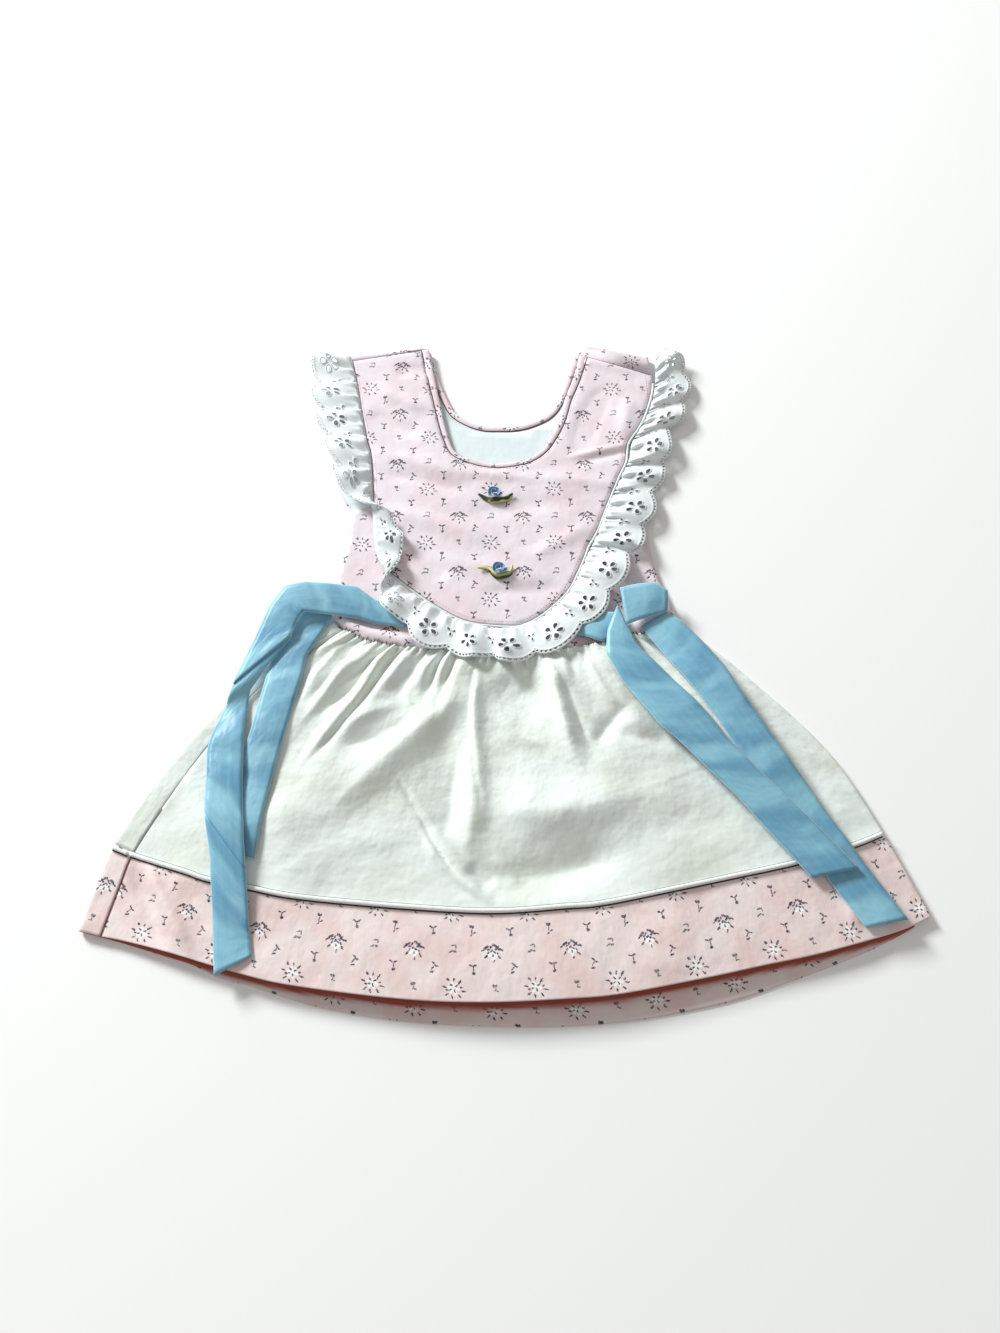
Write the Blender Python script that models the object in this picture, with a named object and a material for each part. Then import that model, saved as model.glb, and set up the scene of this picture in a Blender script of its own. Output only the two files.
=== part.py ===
"""A toddler's apron dress, laid flat on its back.

The dress is white cotton with a pink printed bib, side bodice and hem band, a gathered eyelet
ruffle round the bib, satin ties at both sides and two ribbon roses. Every piece is a cloth wall of
its real outline. Lengths in the tables are millimetres, +X is the viewer's right, +Y runs from the
hem to the neck, and z = 0 is the surface that the dress lies on.
"""

import math

import bmesh
import bpy
import numpy as np
from mathutils import Vector
from mathutils.bvhtree import BVHTree
from mathutils.geometry import delaunay_2d_cdt

MM = 0.001

# The middle of the laid-out dress in the tables' own millimetres
CENTRE_X = 0.0
CENTRE_Y = -3.95

# Walls and gaps
COTTON = 1.2
LINING = 1.0
LACE = 1.0
SATIN = 1.0
GAP = 0.3
SIDE_FOLD = 1.9
SHOULDER_FOLD = 2.15
EDGE_STEP = 14.0
BACK_SPACING = 19.0
FOLD_CLEAR = 6.0
FOLD_SHARES = (0.3, 0.5, 0.7, 0.88)
LINING_INSET = 1.0
LINING_BELOW_FOLD = 1.5
SEAM_STRIP = 13.0

# Heights of the layers that lie on each other
LINING_Z = COTTON + GAP
FRONT_Z = LINING_Z + LINING + GAP
BIB_Z = FRONT_Z + COTTON + GAP
SIDE_TOP_Z = COTTON / 2 + 2 * SIDE_FOLD

# Colours, roughness
WHITE_COTTON = ((0.80, 0.82, 0.78), 0.85)
PINK_PRINT = ((0.82, 0.66, 0.66), 0.85)
WHITE_LACE = ((0.86, 0.88, 0.87), 0.8)
BLUE_SATIN = ((0.22, 0.48, 0.62), 0.35)
GREEN_SATIN = ((0.30, 0.34, 0.14), 0.45)
WHITE_CORD = ((0.74, 0.76, 0.72), 0.7)

# Bodice outlines: x, y
NECK_BACK = ((-61, 254), (-56, 234), (-51, 217), (-45, 202), (-38, 189), (-27, 181), (-16, 177),
             (-4, 176.5), (8, 177), (19, 180), (33, 188), (42, 202), (49, 222), (56, 243), (61, 256))
NECK_FRONT = ((-61, 249), (-56, 222), (-49, 187), (-45, 169), (-39, 152), (-28, 145), (-16, 141),
              (-4, 140), (8, 142), (18, 145), (28, 153), (35, 164), (42, 180), (47, 200), (54, 220),
              (60, 243))
SHOULDER_LEFT = ((-61, 254), (-129, 243))
SHOULDER_RIGHT = ((61, 256), (115, 243))
SEAM_LEFT = ((-61, 249.5), (-122, 237.5))
SEAM_RIGHT = ((60, 244), (117, 223.5))
ARMHOLE_LEFT = ((-129, 237), (-131, 210), (-135, 180), (-134, 153), (-129, 132), (-122, 112),
                (-114, 99))
ARMHOLE_RIGHT = ((115, 237), (116, 220), (117, 190), (116, 150), (112, 120), (107, 98))
SIDE_LEFT = ((-114, 99), (-115, 82), (-117, 66), (-120, 52), (-121, 38), (-121, 9))
SIDE_RIGHT = ((107, 98), (105, 80), (108, 52), (113, 36), (118, 22), (120, 9))
BIB_LEFT = ((-122, 237), (-117, 210), (-112, 184), (-107, 163), (-103, 149), (-101, 132), (-99, 109),
            (-96, 86), (-94, 68), (-88, 51), (-75, 39), (-60, 27), (-49, 19), (-34, 10), (-22, 6),
            (-7, 4))
BIB_RIGHT = ((117, 223), (115, 206), (109, 186), (103, 173), (94, 158), (92, 143), (86, 129),
             (80, 114), (74, 98), (67, 80), (61, 69), (57, 58), (52, 46), (45, 32), (32, 18), (19, 8),
             (5, 3))
WAIST_FRONT = ((-121, 9), (-112, 1), (-96, -7), (-74, -12), (-53, -14), (-25, -16), (0, -17),
               (28, -15), (52, -12), (67, -9), (95, -1), (120, 9))
BINDING_STRAP = 6.0
BINDING_MIDDLE = 3.6
BACK_BINDING = 4.5
NECK_POINTS = 33

# The top edge of the bodice front, under the bib
FRONT_TOP = ((84, 106), (40, 112), (-40, 112), (-86, 108))
STRIP_PUFF = 1.2

# Skirt outlines: x, y
SKIRT_LEFT = ((-121, 8), (-152, -12), (-178, -37), (-200, -63), (-218, -86), (-237, -117), (-255, -153),
              (-261, -176), (-268, -206))
SKIRT_RIGHT = ((120, 8), (150, -16), (176, -42), (199, -66), (219, -91), (234, -118), (246, -144),
               (257, -170), (268, -197))
BAND_START = 0.787
FRONT_SEAM = ((-242, -158), (-230, -162), (-204, -170), (-189, -175), (-163, -180), (-131, -186),
              (-66, -192), (-9, -195), (37, -192), (60, -190), (101, -182), (144, -173), (186, -164),
              (223, -153), (246, -144))
FRONT_HEM = ((-255, -209), (-239, -212), (-210, -219), (-167, -231), (-131, -239), (-64, -247),
             (-14, -249), (36, -247), (70, -244), (125, -234), (159, -227), (194, -220), (243, -207),
             (268, -197))
BACK_SEAM = ((-255, -153), (-204, -175), (-163, -188), (-105, -200), (-50, -206), (0, -208),
             (50, -205), (101, -195), (144, -185), (186, -173), (223, -159), (246, -144))
BACK_HEM = ((-268, -206), (-240, -213), (-212, -221), (-195, -226), (-177, -234), (-157, -239),
            (-114, -251), (-63, -259), (-14, -262), (36, -262), (83, -258), (137, -248), (178, -235),
            (207, -225), (235, -214), (257, -203), (268, -197))

WAIST_BACK = ((-121, 8), (-60, 6), (0, 5), (60, 6), (120, 8))

# Soft folds of the skirt: start x, y, end x, y, height, half width at each end
SKIRT_FOLDS = (
    (-26, -45, -135, -138, 5.0, 9, 20),
    (-24, -30, -19, -150, 4.5, 6, 8),
    (-40, -60, -42, -150, -2.5, 9, 12),
    (31, -20, 48, -96, 4.5, 7, 11),
    (15, -22, 18, -60, -2.5, 8, 12),
    (60, -14, 96, -84, 4.0, 8, 14),
    (-74, -104, -13, -188, 2.0, 4, 4),
    (20, -135, 30, -178, -3.0, 38, 42),
    (-95, -16, -138, -62, -2.0, 6, 8),
    (-66, -18, -108, -60, -2.0, 6, 9),
    (-108, -22, -180, -96, 3.0, 7, 14),
    (-84, -30, -150, -150, 3.0, 8, 16),
    (108, -20, 168, -120, 3.0, 8, 16),
    (120, -40, 206, -150, 2.5, 8, 14),
    (-160, -120, -120, -176, 2.5, 14, 16),
    (84, -120, 120, -178, 2.0, 18, 20),
    (-229, -164, -198, -214, 2.6, 4, 5),
    (-240, -176, -222, -206, -1.2, 4, 6),
    (96, -196, 104, -232, 1.2, 14, 16),
)
SKIRT_PUFF = 3.5
SKIRT_PUFF_REACH = 34.0
HEM_LIFT = 4.5
HEM_LIFT_HALF_WIDTH = 120.0
GATHERS = 30
GATHER_HEIGHT = 1.5
GATHER_LENGTHS = (0.42, 0.24, 0.34, 0.20, 0.48, 0.28, 0.38)

# Rows of the front skirt, waist to band: fraction of its depth, points across
SKIRT_ROWS = ((0.0, 120), (0.035, 120), (0.09, 120), (0.17, 90), (0.27, 60), (0.39, 44), (0.52, 36),
              (0.66, 34), (0.80, 34), (0.91, 36), (1.0, 40))
BACK_COLUMNS = (16, 16, 16, 16, 16, 16, 16, 16, 20, 26, 30)
BAND_DOWN = (0.0, 0.33, 0.67, 1.0)
BAND_FRONT_COLUMNS = (40, 38, 38, 40)
BAND_BACK_COLUMNS = (30, 26, 26, 30)

# Eyelet ruffle, left shoulder to right shoulder: root x, y, z, edge x, y, z
RUFFLE_ROWS = (
    (-124, 240, 5.6, -152, 244, 4.0),
    (-118, 214, 5.2, -154, 217, 3.0),
    (-113, 187, 5.2, -150, 190, 3.0),
    (-108, 162, 5.2, -141, 166, 4.0),
    (-104, 147, 5.4, -128, 148, 8.0),
    (-102, 130, 5.8, -117, 124, 12.0),
    (-100, 109, 6.6, -97, 104, 14.0),
    (-97, 88, 6.8, -79, 88, 10.0),
    (-95, 69, 6.8, -73, 67, 9.0),
    (-89.5, 51, 6.8, -74, 44, 10.0),
    (-76.5, 38, 6.4, -91, 26, 10.0),
    (-61, 26, 6.4, -76, 5, 9.0),
    (-49.5, 18, 6.4, -62, -12, 9.0),
    (-34.5, 9, 6.4, -42, -20, 9.0),
    (-22, 5, 6.4, -23, -24, 9.5),
    (-1, 2, 6.4, 2, -27, 9.5),
    (19.5, 7, 6.4, 27, -22, 9.5),
    (33, 17, 6.4, 52, -6, 9.5),
    (46, 31, 6.4, 70, 13, 9.0),
    (53.5, 46, 6.4, 83, 33, 8.0),
    (58.5, 58, 6.2, 92, 51, 7.0),
    (68, 79, 6.0, 103, 73, 5.0),
    (75, 97.5, 5.8, 112, 95, 4.0),
    (81.5, 114, 5.6, 117, 115, 3.4),
    (88, 129, 5.6, 123, 134, 3.0),
    (94, 143, 5.6, 128, 151, 3.0),
    (97, 158, 5.6, 130, 170, 3.0),
    (105, 173, 5.4, 140, 184, 3.0),
    (111, 186, 5.4, 145, 202, 3.0),
    (117, 206, 5.4, 148, 222, 3.0),
    (119, 222, 5.6, 143, 243, 4.0),
    (120, 238, 6.0, 130, 252, 6.0),
)
SCALLOPS = 22
SCALLOP_WIDTH = 38.0
RUFFLE_DEPTH = 40.0
SCALLOP_RISE = 0.15
WAVE_HEIGHT = 5.5
WAVE_LEAN = 0.7
PLEAT_HEIGHT = 1.5
PLEATS_PER_SCALLOP = 2
PETALS = 5
PETAL_REACH = 5.2
PETAL_LENGTH = 4.8
PETAL_WIDTH = 3.6
FLOWER_DEPTH = 0.56
RUFFLE_ARCH = 2.0
RUFFLE_CLEAR = 1.1
RUFFLE_REACH = 4.0

# Satin ties, a row for each section: left edge x, y, right edge x, y, lift, tuck after the row
# (1 laps the next stretch over this one, -1 laps it under, 0 runs on)
LEFT_FRONT_TIE = (
    (-70, 21, -70, 3, 0.4, 0),
    (-93, 24, -90, 5, 0.5, 0),
    (-106, 34, -102, 8, 0.8, 0),
    (-125, 36, -116, 10, 1.6, 0),
    (-144, 36, -132, 11, 4.0, 0),
    (-157, 32, -141, 12, 5.0, 0),
    (-166, 18, -144, 9, 4.0, 0),
    (-174, -6, -146, 5, 2.4, 0),
    (-186, -42, -149, -6, 1.5, -1),
    (-190, -56, -175, -46, 0.6, 0),
    (-196, -74, -176, -64, 0.6, 0),
    (-198, -91, -174, -86, 0.6, 0),
    (-196, -104, -171, -118, 0.6, 0),
    (-194, -134, -164, -170, 0.4, 1),
    (-188, -162, -161, -190, 0.4, 0),
    (-184, -190, -159, -206, 0.4, 0),
    (-178, -234, -156, -222, 0.6, 0),
)
LEFT_BACK_TIE = (
    (-138, 22, -119, 27, 0.5, 0),
    (-145, 5, -121, 10, 0.6, 0),
    (-153, -12, -130, -6, 0.8, 0),
    (-161, -26, -137, -20, 0.6, 0),
    (-164, -40, -140, -38, 0.4, 0),
    (-170, -71, -146, -69, 0.4, 0),
    (-176, -100, -152, -99, 0.4, 0),
    (-180, -132, -157, -134, 0.4, 0),
    (-180, -156, -160, -162, 0.4, 0),
)
RIGHT_FRONT_TIE = (
    (52, 16, 49, -3, 0.4, 0),
    (61, 16, 58, -6, 0.5, 0),
    (69, 13, 67, -10, 0.5, 0),
    (78, 13, 77, -6, 0.5, 0),
)
RIGHT_KNOT = (
    (81, 30, 84, 1, 0.0, 0),
    (92, 33, 94, 5, 2.4, 0),
    (106, 35, 104, 8, 3.2, 0),
    (115, 29, 114, 13, 0.2, 0),
)
RIGHT_BACK_TIE = (
    (79, 18, 84, 4, 0.4, 0),
    (71, -2, 92, -14, 0.8, 0),
    (69, -20, 103, -27, 1.2, 0),
    (78, -39, 114, -40, 1.2, 0),
    (89, -55, 126, -53, 1.0, 0),
    (102, -73, 136, -66, 0.6, 0),
    (114, -84, 146, -81, 0.4, 0),
    (132, -104, 164, -103, 0.4, 0),
    (150, -123, 179, -119, 0.4, 0),
    (168, -145, 199, -140, 0.4, 0),
    (192, -175, 223, -169, 0.4, 0),
)
RIGHT_FRONT_TAIL = (
    (95, 2, 114, 14, 0.4, 0),
    (104, -12, 125, 5, 0.4, 0),
    (114, -27, 138, -12, 0.4, 0),
    (127, -45, 149, -28, 0.4, 0),
    (140, -66, 166, -60, 0.4, 0),
    (157, -96, 181, -86, 0.4, 0),
    (174, -126, 197, -113, 0.4, 0),
    (190, -153, 212, -139, 0.4, 0),
    (207, -181, 230, -168, 0.4, 0),
    (223, -205, 250, -200, 0.5, 0),
)

# A tuck across a tie: distance past the fold's edge, rise, share of the width
TUCK = ((-5.0, 0.0, 1.0), (0.6, 0.0, 1.0), (3.2, 0.0, 0.9), (4.1, 0.85, 0.8), (3.2, 1.7, 0.8),
        (0.6, 1.8, 0.9), (-0.5, 2.65, 1.0), (0.6, 3.5, 1.0), (4.0, 3.3, 1.0), (9.0, 1.7, 1.0),
        (15.0, 0.3, 1.0))
LAPPED_SHARE = 0.45
TUCK_SHORT = 7.0
TUCK_LONG = 18.0
TIE_STEP = 9.0
TIE_REACH = 3.0

# Ribbon roses
ROSE_PLACES = ((-8, 115), (-6, 51))
ROSE_RADIUS = 4.8
ROSE_HEIGHT = 4.5
ROSE_RINGS = ((0.0, 0.72), (0.28, 1.0), (0.58, 0.94), (0.84, 0.66), (1.0, 0.30))
LEAF = 1.4
LEAF_REACH = 12.5
LEAF_WIDTH = 6.5
PIPING_RADIUS = 1.0
PIPING_RUN = (0.004, 0.985)

laid = {}


def smoothstep(value):
    value = np.clip(value, 0.0, 1.0)
    return value * value * (3 - 2 * value)


class Curve:
    """A round curve through a few points, read by the fraction of its length."""

    def __init__(self, points, per_span=12):
        given = np.array(points, float)
        ends = np.vstack([2 * given[0] - given[1], given, 2 * given[-1] - given[-2]])
        steps = np.linspace(0, 1, per_span, endpoint=False)[:, None]
        spans = []
        for i in range(1, len(ends) - 2):
            before, start, end, after = ends[i - 1:i + 3]
            spans.append(0.5 * (2 * start + (end - before) * steps
                                + (2 * before - 5 * start + 4 * end - after) * steps ** 2
                                + (3 * start - before - 3 * end + after) * steps ** 3))
        self.points = np.vstack(spans + [given[-1:]])
        lengths = np.linalg.norm(np.diff(self.points[:, :2], axis=0), axis=1)
        self.along = np.concatenate([[0], np.cumsum(lengths)])
        self.length = self.along[-1]

    def __call__(self, fraction):
        place = np.asarray(fraction) * self.length
        read = [np.interp(place, self.along, column) for column in self.points.T]
        return np.stack(read, axis=-1)

    def every(self, step):
        """Points about a step apart, both ends included."""
        return self(np.linspace(0, 1, max(2, round(self.length / step) + 1)))

    def outward(self, fraction, side):
        """The sideways direction in plan, to the right of the run if side is 1, to the left if -1."""
        before = self(np.clip(np.asarray(fraction) - 0.01, 0, 1))[..., :2]
        after = self(np.clip(np.asarray(fraction) + 0.01, 0, 1))[..., :2]
        run = after - before
        run /= np.linalg.norm(run, axis=-1, keepdims=True)
        return side * np.stack([run[..., 1], -run[..., 0]], axis=-1)

    def moved(self, distance, side):
        """The curve this far to one side."""
        fractions = np.linspace(0, 1, len(self.points))
        return Curve((self(fractions)[:, :2] + distance * self.outward(fractions, side))[::6])

    def part(self, start, end):
        """A stretch of the curve that keeps its directions."""
        return Part(self, start, end)


class Part:
    """A stretch of a curve between two fractions, with an offset that may grow along it."""

    def __init__(self, whole, start, end, inset=None, side=1):
        self.whole, self.start, self.end, self.inset, self.side = whole, start, end, inset, side
        self.length = whole.length * (end - start)

    def at(self, fraction):
        return self.start + (self.end - self.start) * np.asarray(fraction, float)

    def outward(self, fraction, side):
        return self.whole.outward(self.at(fraction), side)

    def __call__(self, fraction):
        places = self.whole(self.at(fraction))
        if self.inset is None:
            return places
        return places - self.outward(fraction, self.side) * np.asarray(self.inset(fraction))[..., None]


class Patch:
    """The plan of a piece between four edges. Across runs 0 to 1 along top and bottom, down 0 to 1."""

    def __init__(self, top, bottom, left, right):
        self.top, self.bottom, self.left, self.right = top, bottom, left, right

    def __call__(self, across, down):
        s, t = across[..., None], down[..., None]
        corners = ((1 - s) * (1 - t) * self.top(0.0) + s * (1 - t) * self.top(1.0)
                   + (1 - s) * t * self.bottom(0.0) + s * t * self.bottom(1.0))
        sides = (1 - s) * self.left(down) + s * self.right(down)
        return (1 - t) * self.top(across) + t * self.bottom(across) + sides - corners


def inside(outline, points):
    """Which points lie inside a closed outline."""
    x, y = points[:, 0], points[:, 1]
    found = np.zeros(len(points), bool)
    for (x0, y0), (x1, y1) in zip(outline, np.roll(outline, -1, axis=0)):
        crosses = (y0 > y) != (y1 > y)
        rise = y1 - y0 if y1 != y0 else 1.0
        found ^= crosses & (x < (x1 - x0) * (y - y0) / rise + x0)
    return found


def from_outline(outline, points):
    """The distance of each point from a closed outline."""
    nearest = np.full(len(points), np.inf)
    for start, end in zip(outline, np.roll(outline, -1, axis=0)):
        run = end - start
        along = np.clip(((points - start) @ run) / max(run @ run, 1e-9), 0, 1)
        nearest = np.minimum(nearest, np.linalg.norm(points - start - along[:, None] * run, axis=1))
    return nearest


def triangles(outline, inner, holes=()):
    """Points and triangles that fill a flat outline through the inner points, round the holes."""
    loops = [np.asarray(outline, float)] + [np.asarray(hole, float) for hole in holes]
    points = [Vector(point) for point in np.vstack(loops + [np.asarray(inner, float).reshape(-1, 2)])]
    edges = []
    first = 0
    for loop in loops:
        count = len(loop)
        edges += [(first + i, first + (i + 1) % count) for i in range(count)]
        first += count
    found, _, faces, _, _, _ = delaunay_2d_cdt(points, edges, [], 1, 1e-5)
    flat = np.array([(p.x, p.y) for p in found])
    faces = np.array([face for face in faces if len(face) == 3])
    middles = flat[faces].mean(axis=1)
    kept = inside(loops[0], middles)
    for hole in loops[1:]:
        kept &= ~inside(hole, middles)
    return flat, faces[kept]


def even_points(outline, spacing, clear=0.6):
    """Points in even staggered rows inside an outline."""
    outline = np.asarray(outline)
    low, high = outline.min(axis=0), outline.max(axis=0)
    rows = []
    for i, y in enumerate(np.arange(low[1] + spacing / 2, high[1], spacing * 0.87)):
        x = np.arange(low[0] + spacing * (0.25 + 0.5 * (i % 2)), high[0], spacing)
        rows.append(np.stack([x, np.full(len(x), y)], axis=1))
    points = np.vstack(rows)
    kept = inside(outline, points) & (from_outline(outline, points) > clear * spacing)
    return points[kept]


def material_of(name, look):
    colour, roughness = look
    material = bpy.data.materials.new(name)
    material.use_nodes = True
    shader = material.node_tree.nodes["Principled BSDF"]
    shader.inputs["Base Color"].default_value = (*colour, 1)
    shader.inputs["Roughness"].default_value = roughness
    return material


def add_mesh(name, points, faces, look):
    """An object from points in the tables' millimetres, its faces turned outward."""
    mesh = bpy.data.meshes.new(name)
    mesh.from_pydata(((points - (CENTRE_X, CENTRE_Y, 0)) * MM).tolist(), [], faces)
    builder = bmesh.new()
    builder.from_mesh(mesh)
    bmesh.ops.recalc_face_normals(builder, faces=builder.faces)
    builder.to_mesh(mesh)
    builder.free()
    mesh.shade_smooth()
    mesh.set_sharp_from_angle(angle=math.radians(50))
    mesh.materials.append(material_of(name, look))
    bpy.context.scene.collection.objects.link(bpy.data.objects.new(name, mesh))
    laid[name] = BVHTree.FromPolygons(points.tolist(), faces)


def add_piece(name, outer, inner, faces, look):
    """A cloth wall: outer and inner points in pairs, the same triangles on both, edges closed."""
    used = np.unique(faces)
    renumber = np.full(len(outer), -1)
    renumber[used] = np.arange(len(used))
    faces = renumber[faces]
    count = len(used)
    edges = np.concatenate([faces[:, [0, 1]], faces[:, [1, 2]], faces[:, [2, 0]]]).tolist()
    turned = {tuple(edge[::-1]) for edge in edges}
    rim = [(b, a, a + count, b + count) for a, b in edges if (a, b) not in turned]
    both = faces.tolist() + (faces[:, ::-1] + count).tolist() + rim
    add_mesh(name, np.vstack([outer[used], inner[used]]), both, look)


def top_of(names, x, y, reach=0.0):
    """The highest point of the named pieces at and round a place, or 0 where there is none."""
    highest = 0.0
    around = ((0, 0),) if reach == 0 else ((0, 0), (reach, 0), (-reach, 0), (0, reach), (0, -reach))
    for name in names:
        for dx, dy in around:
            hit = laid[name].ray_cast(Vector((x + dx, y + dy, 200)), Vector((0, 0, -1)))[0]
            if hit is not None:
                highest = max(highest, hit.z)
    return highest


def flat_panel(name, outline, spacing, low, thickness, look):
    """A flat outline as a wall, its underside at the height that low(points) gives."""
    outline = np.asarray(outline, float)
    flat, faces = triangles(outline, even_points(outline, spacing))
    under = low(flat)
    inner = np.column_stack([flat, under])
    outer = np.column_stack([flat, under + thickness])
    add_piece(name, outer, inner, faces, look)


def vertex_normals(points, faces):
    """The mean direction of the triangles round each point."""
    corners = points[faces]
    face_normals = np.cross(corners[:, 1] - corners[:, 0], corners[:, 2] - corners[:, 0])
    normals = np.zeros_like(points)
    for i in range(3):
        np.add.at(normals, faces[:, i], face_normals)
    return normals / np.maximum(np.linalg.norm(normals, axis=1, keepdims=True), 1e-9)


def upright(points, faces):
    """How much taller than its thickness a wall is cut on each slope, so that it stays as thick."""
    normals = vertex_normals(points, faces)
    return 1 / np.clip(np.abs(normals[:, 2]), 0.6, 1)


def skirt_height(x, y):
    """The soft folds and the lift of the hem above the puffed front."""
    height = np.zeros_like(x)
    for x0, y0, x1, y1, rise, width0, width1 in SKIRT_FOLDS:
        run = np.array([x1 - x0, y1 - y0], float)
        length = np.linalg.norm(run)
        run /= length
        along = ((x - x0) * run[0] + (y - y0) * run[1]) / length
        across = (x - x0) * run[1] - (y - y0) * run[0]
        width = width0 + (width1 - width0) * np.clip(along, 0, 1)
        ends = smoothstep((along + 0.15) / 0.4) * smoothstep((1.15 - along) / 0.4)
        height += rise * ends * np.exp(-(across / width) ** 2)
    lifted = np.exp(-(x / HEM_LIFT_HALF_WIDTH) ** 2) * smoothstep((-y - 120) / 120)
    return height + HEM_LIFT * lifted


def side_reach(points):
    """0 at the side folds of the skirt, 1 well inside it."""
    left, right = np.array(SKIRT_LEFT, float), np.array(SKIRT_RIGHT, float)
    from_left = points[:, 0] - np.interp(-points[:, 1], -left[:, 1], left[:, 0])
    from_right = np.interp(-points[:, 1], -right[:, 1], right[:, 0]) - points[:, 0]
    nearest = np.minimum(from_left - SEAM_STRIP, from_right - 2 * SIDE_FOLD)
    return smoothstep(nearest / SKIRT_PUFF_REACH)


def front_middle(points):
    """The height of the middle of the front skirt's wall at each place."""
    folds = np.maximum(skirt_height(points[:, 0], points[:, 1]), 1.0 - SKIRT_PUFF)
    waist = smoothstep((8 - points[:, 1]) / 40)
    return SIDE_TOP_Z + side_reach(points) * waist * (SKIRT_PUFF + folds)


def gather_height(across, down):
    """Gathers of uneven length that fan out from the waist seam."""
    phase = across * GATHERS + 0.22 * np.sin(across * 41.0) + 0.16 * np.sin(across * 23.0 + 1.0)
    number = np.floor(phase).astype(int)
    lengths = np.array(GATHER_LENGTHS)
    length = lengths[number % len(lengths)]
    following = lengths[(number + 1) % len(lengths)]
    length = length + (following - length) * smoothstep(phase - number)
    swell = 0.75 + 0.6 * smoothstep(down / 0.08)
    ends = smoothstep(across / 0.02) * smoothstep((1 - across) / 0.03)
    return GATHER_HEIGHT * (1 - smoothstep(down / length)) * swell * ends * np.cos(2 * math.pi * phase)


def turned_edge(edge, down, past, side, upward):
    """Middle points and wall directions past a side fold, as the cloth turns upward or downward."""
    start = edge(down)
    out = edge.outward(down, side)
    turn = np.clip(past / SIDE_FOLD, 0, math.pi)
    straight = np.maximum(past - math.pi * SIDE_FOLD, 0)
    reach = SIDE_FOLD * np.sin(turn) - straight
    sense = -1 if upward else 1
    height = COTTON / 2 + SIDE_FOLD * (1 + sense * np.cos(turn))
    middle = np.column_stack([start + out * reach[:, None], height])
    direction = np.column_stack([out * np.sin(turn)[:, None], sense * np.cos(turn)])
    return middle, direction


def skirt_piece(name, edges, side, rows, strip, look, gathered=False):
    """A panel that turns round one side fold and ends at the side seam.

    A front lies on top and turns under at the right, side -1. A back lies below and turns over at the
    left, side 1. Across runs from the plain side edge to the fold.
    """
    patch = Patch(*edges)
    top, bottom, _, fold_edge = edges
    is_front = side < 0
    width = (top.length + bottom.length) / 2
    depth = fold_edge.length
    half_turn = math.pi * SIDE_FOLD
    lines = []
    for down, count in rows:
        flap = half_turn + strip(down)
        past = [width + step for step in (half_turn / 3, half_turn * 2 / 3, half_turn, flap)]
        line = np.concatenate([np.linspace(0, width, count + 1), past])
        lines.append(np.column_stack([line, np.full(len(line), down * depth)]))
    plain_side = [line[0] for line in lines[1:-1]]
    strip_side = [line[-1] for line in lines[1:-1]]
    outline = np.vstack([lines[0], strip_side, lines[-1][::-1], plain_side[::-1]])
    flat, faces = triangles(outline, np.vstack([line[1:-1] for line in lines[1:-1]]))
    across = np.clip(flat[:, 0] / width, 0, 1)
    down = np.clip(flat[:, 1] / depth, 0, 1)
    plan = patch(across, down)
    height = front_middle(plan) if is_front else np.full(len(flat), COTTON / 2)
    if gathered:
        height = height + gather_height(across, down)
    middle = np.column_stack([plan, height])
    direction = np.zeros((len(flat), 3))
    direction[:, 2] = -side
    stretch = upright(middle, faces)
    past = flat[:, 0] - width
    beyond = past > 1e-6
    middle[beyond], direction[beyond] = turned_edge(
        fold_edge, down[beyond], past[beyond], side, upward=not is_front)
    stretch[beyond | (across == 0) | (across == 1)] = 1
    half = direction * (stretch * COTTON / 2)[:, None]
    add_piece(name, middle + half, middle - half, faces, look)


def joined(start, points, end):
    """A curve through inner points, from one corner to another."""
    return Curve([tuple(start)] + [tuple(point) for point in points] + [tuple(end)])


def shifted(points, dy):
    return [(x, y + dy) for x, y in points]


def skirt_strip(down):
    """How far the back skirt laps round to the side seam."""
    return 4 + (SEAM_STRIP - 4) * smoothstep(np.asarray(down) / 0.8)


def band_strip(down):
    return np.asarray(down) * 0 + SEAM_STRIP


def make_skirt():
    """The gathered white skirt and its printed hem band, front and back."""
    clear = SIDE_FOLD + COTTON / 2
    left = Curve(SKIRT_LEFT).moved(-clear, 1)
    right = Curve(SKIRT_RIGHT).moved(-clear, -1)
    seam_gap = GAP / left.length
    skirt_downs = [down for down, _ in SKIRT_ROWS]
    panels = (
        ("skirt", 0.0, BAND_START - seam_gap / 2, skirt_strip, WHITE_COTTON, SKIRT_ROWS,
         tuple(zip(skirt_downs, BACK_COLUMNS)), shifted(WAIST_FRONT, -GAP), shifted(FRONT_SEAM, GAP),
         WAIST_BACK, shifted(BACK_SEAM, GAP)),
        ("hem_band", BAND_START + seam_gap / 2, 1.0, band_strip, PINK_PRINT,
         tuple(zip(BAND_DOWN, BAND_FRONT_COLUMNS)), tuple(zip(BAND_DOWN, BAND_BACK_COLUMNS)),
         FRONT_SEAM, FRONT_HEM, BACK_SEAM, BACK_HEM),
    )
    for (name, start, end, strip, look, front_rows, back_rows,
         front_top, front_bottom, back_top, back_bottom) in panels:
        def parted(down, strip=strip):
            return strip(down) + GAP

        fold = right.part(start, end)
        seam = Part(left, start, end, parted, 1)
        top = joined(seam(0.0), front_top[1:-1], fold(0.0))
        bottom = joined(seam(1.0), front_bottom[1:-1], fold(1.0))
        skirt_piece(name + "_front", (top, bottom, seam, fold), -1, front_rows, strip, look,
                    gathered=name == "skirt")
        fold = left.part(start, end)
        seam = Part(right, start, end, parted, -1)
        top = joined(seam(0.0), back_top[-2:0:-1], fold(0.0))
        bottom = joined(seam(1.0), back_bottom[-2:0:-1], fold(1.0))
        skirt_piece(name + "_back", (top, bottom, seam, fold), 1, back_rows, strip, look)


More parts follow.
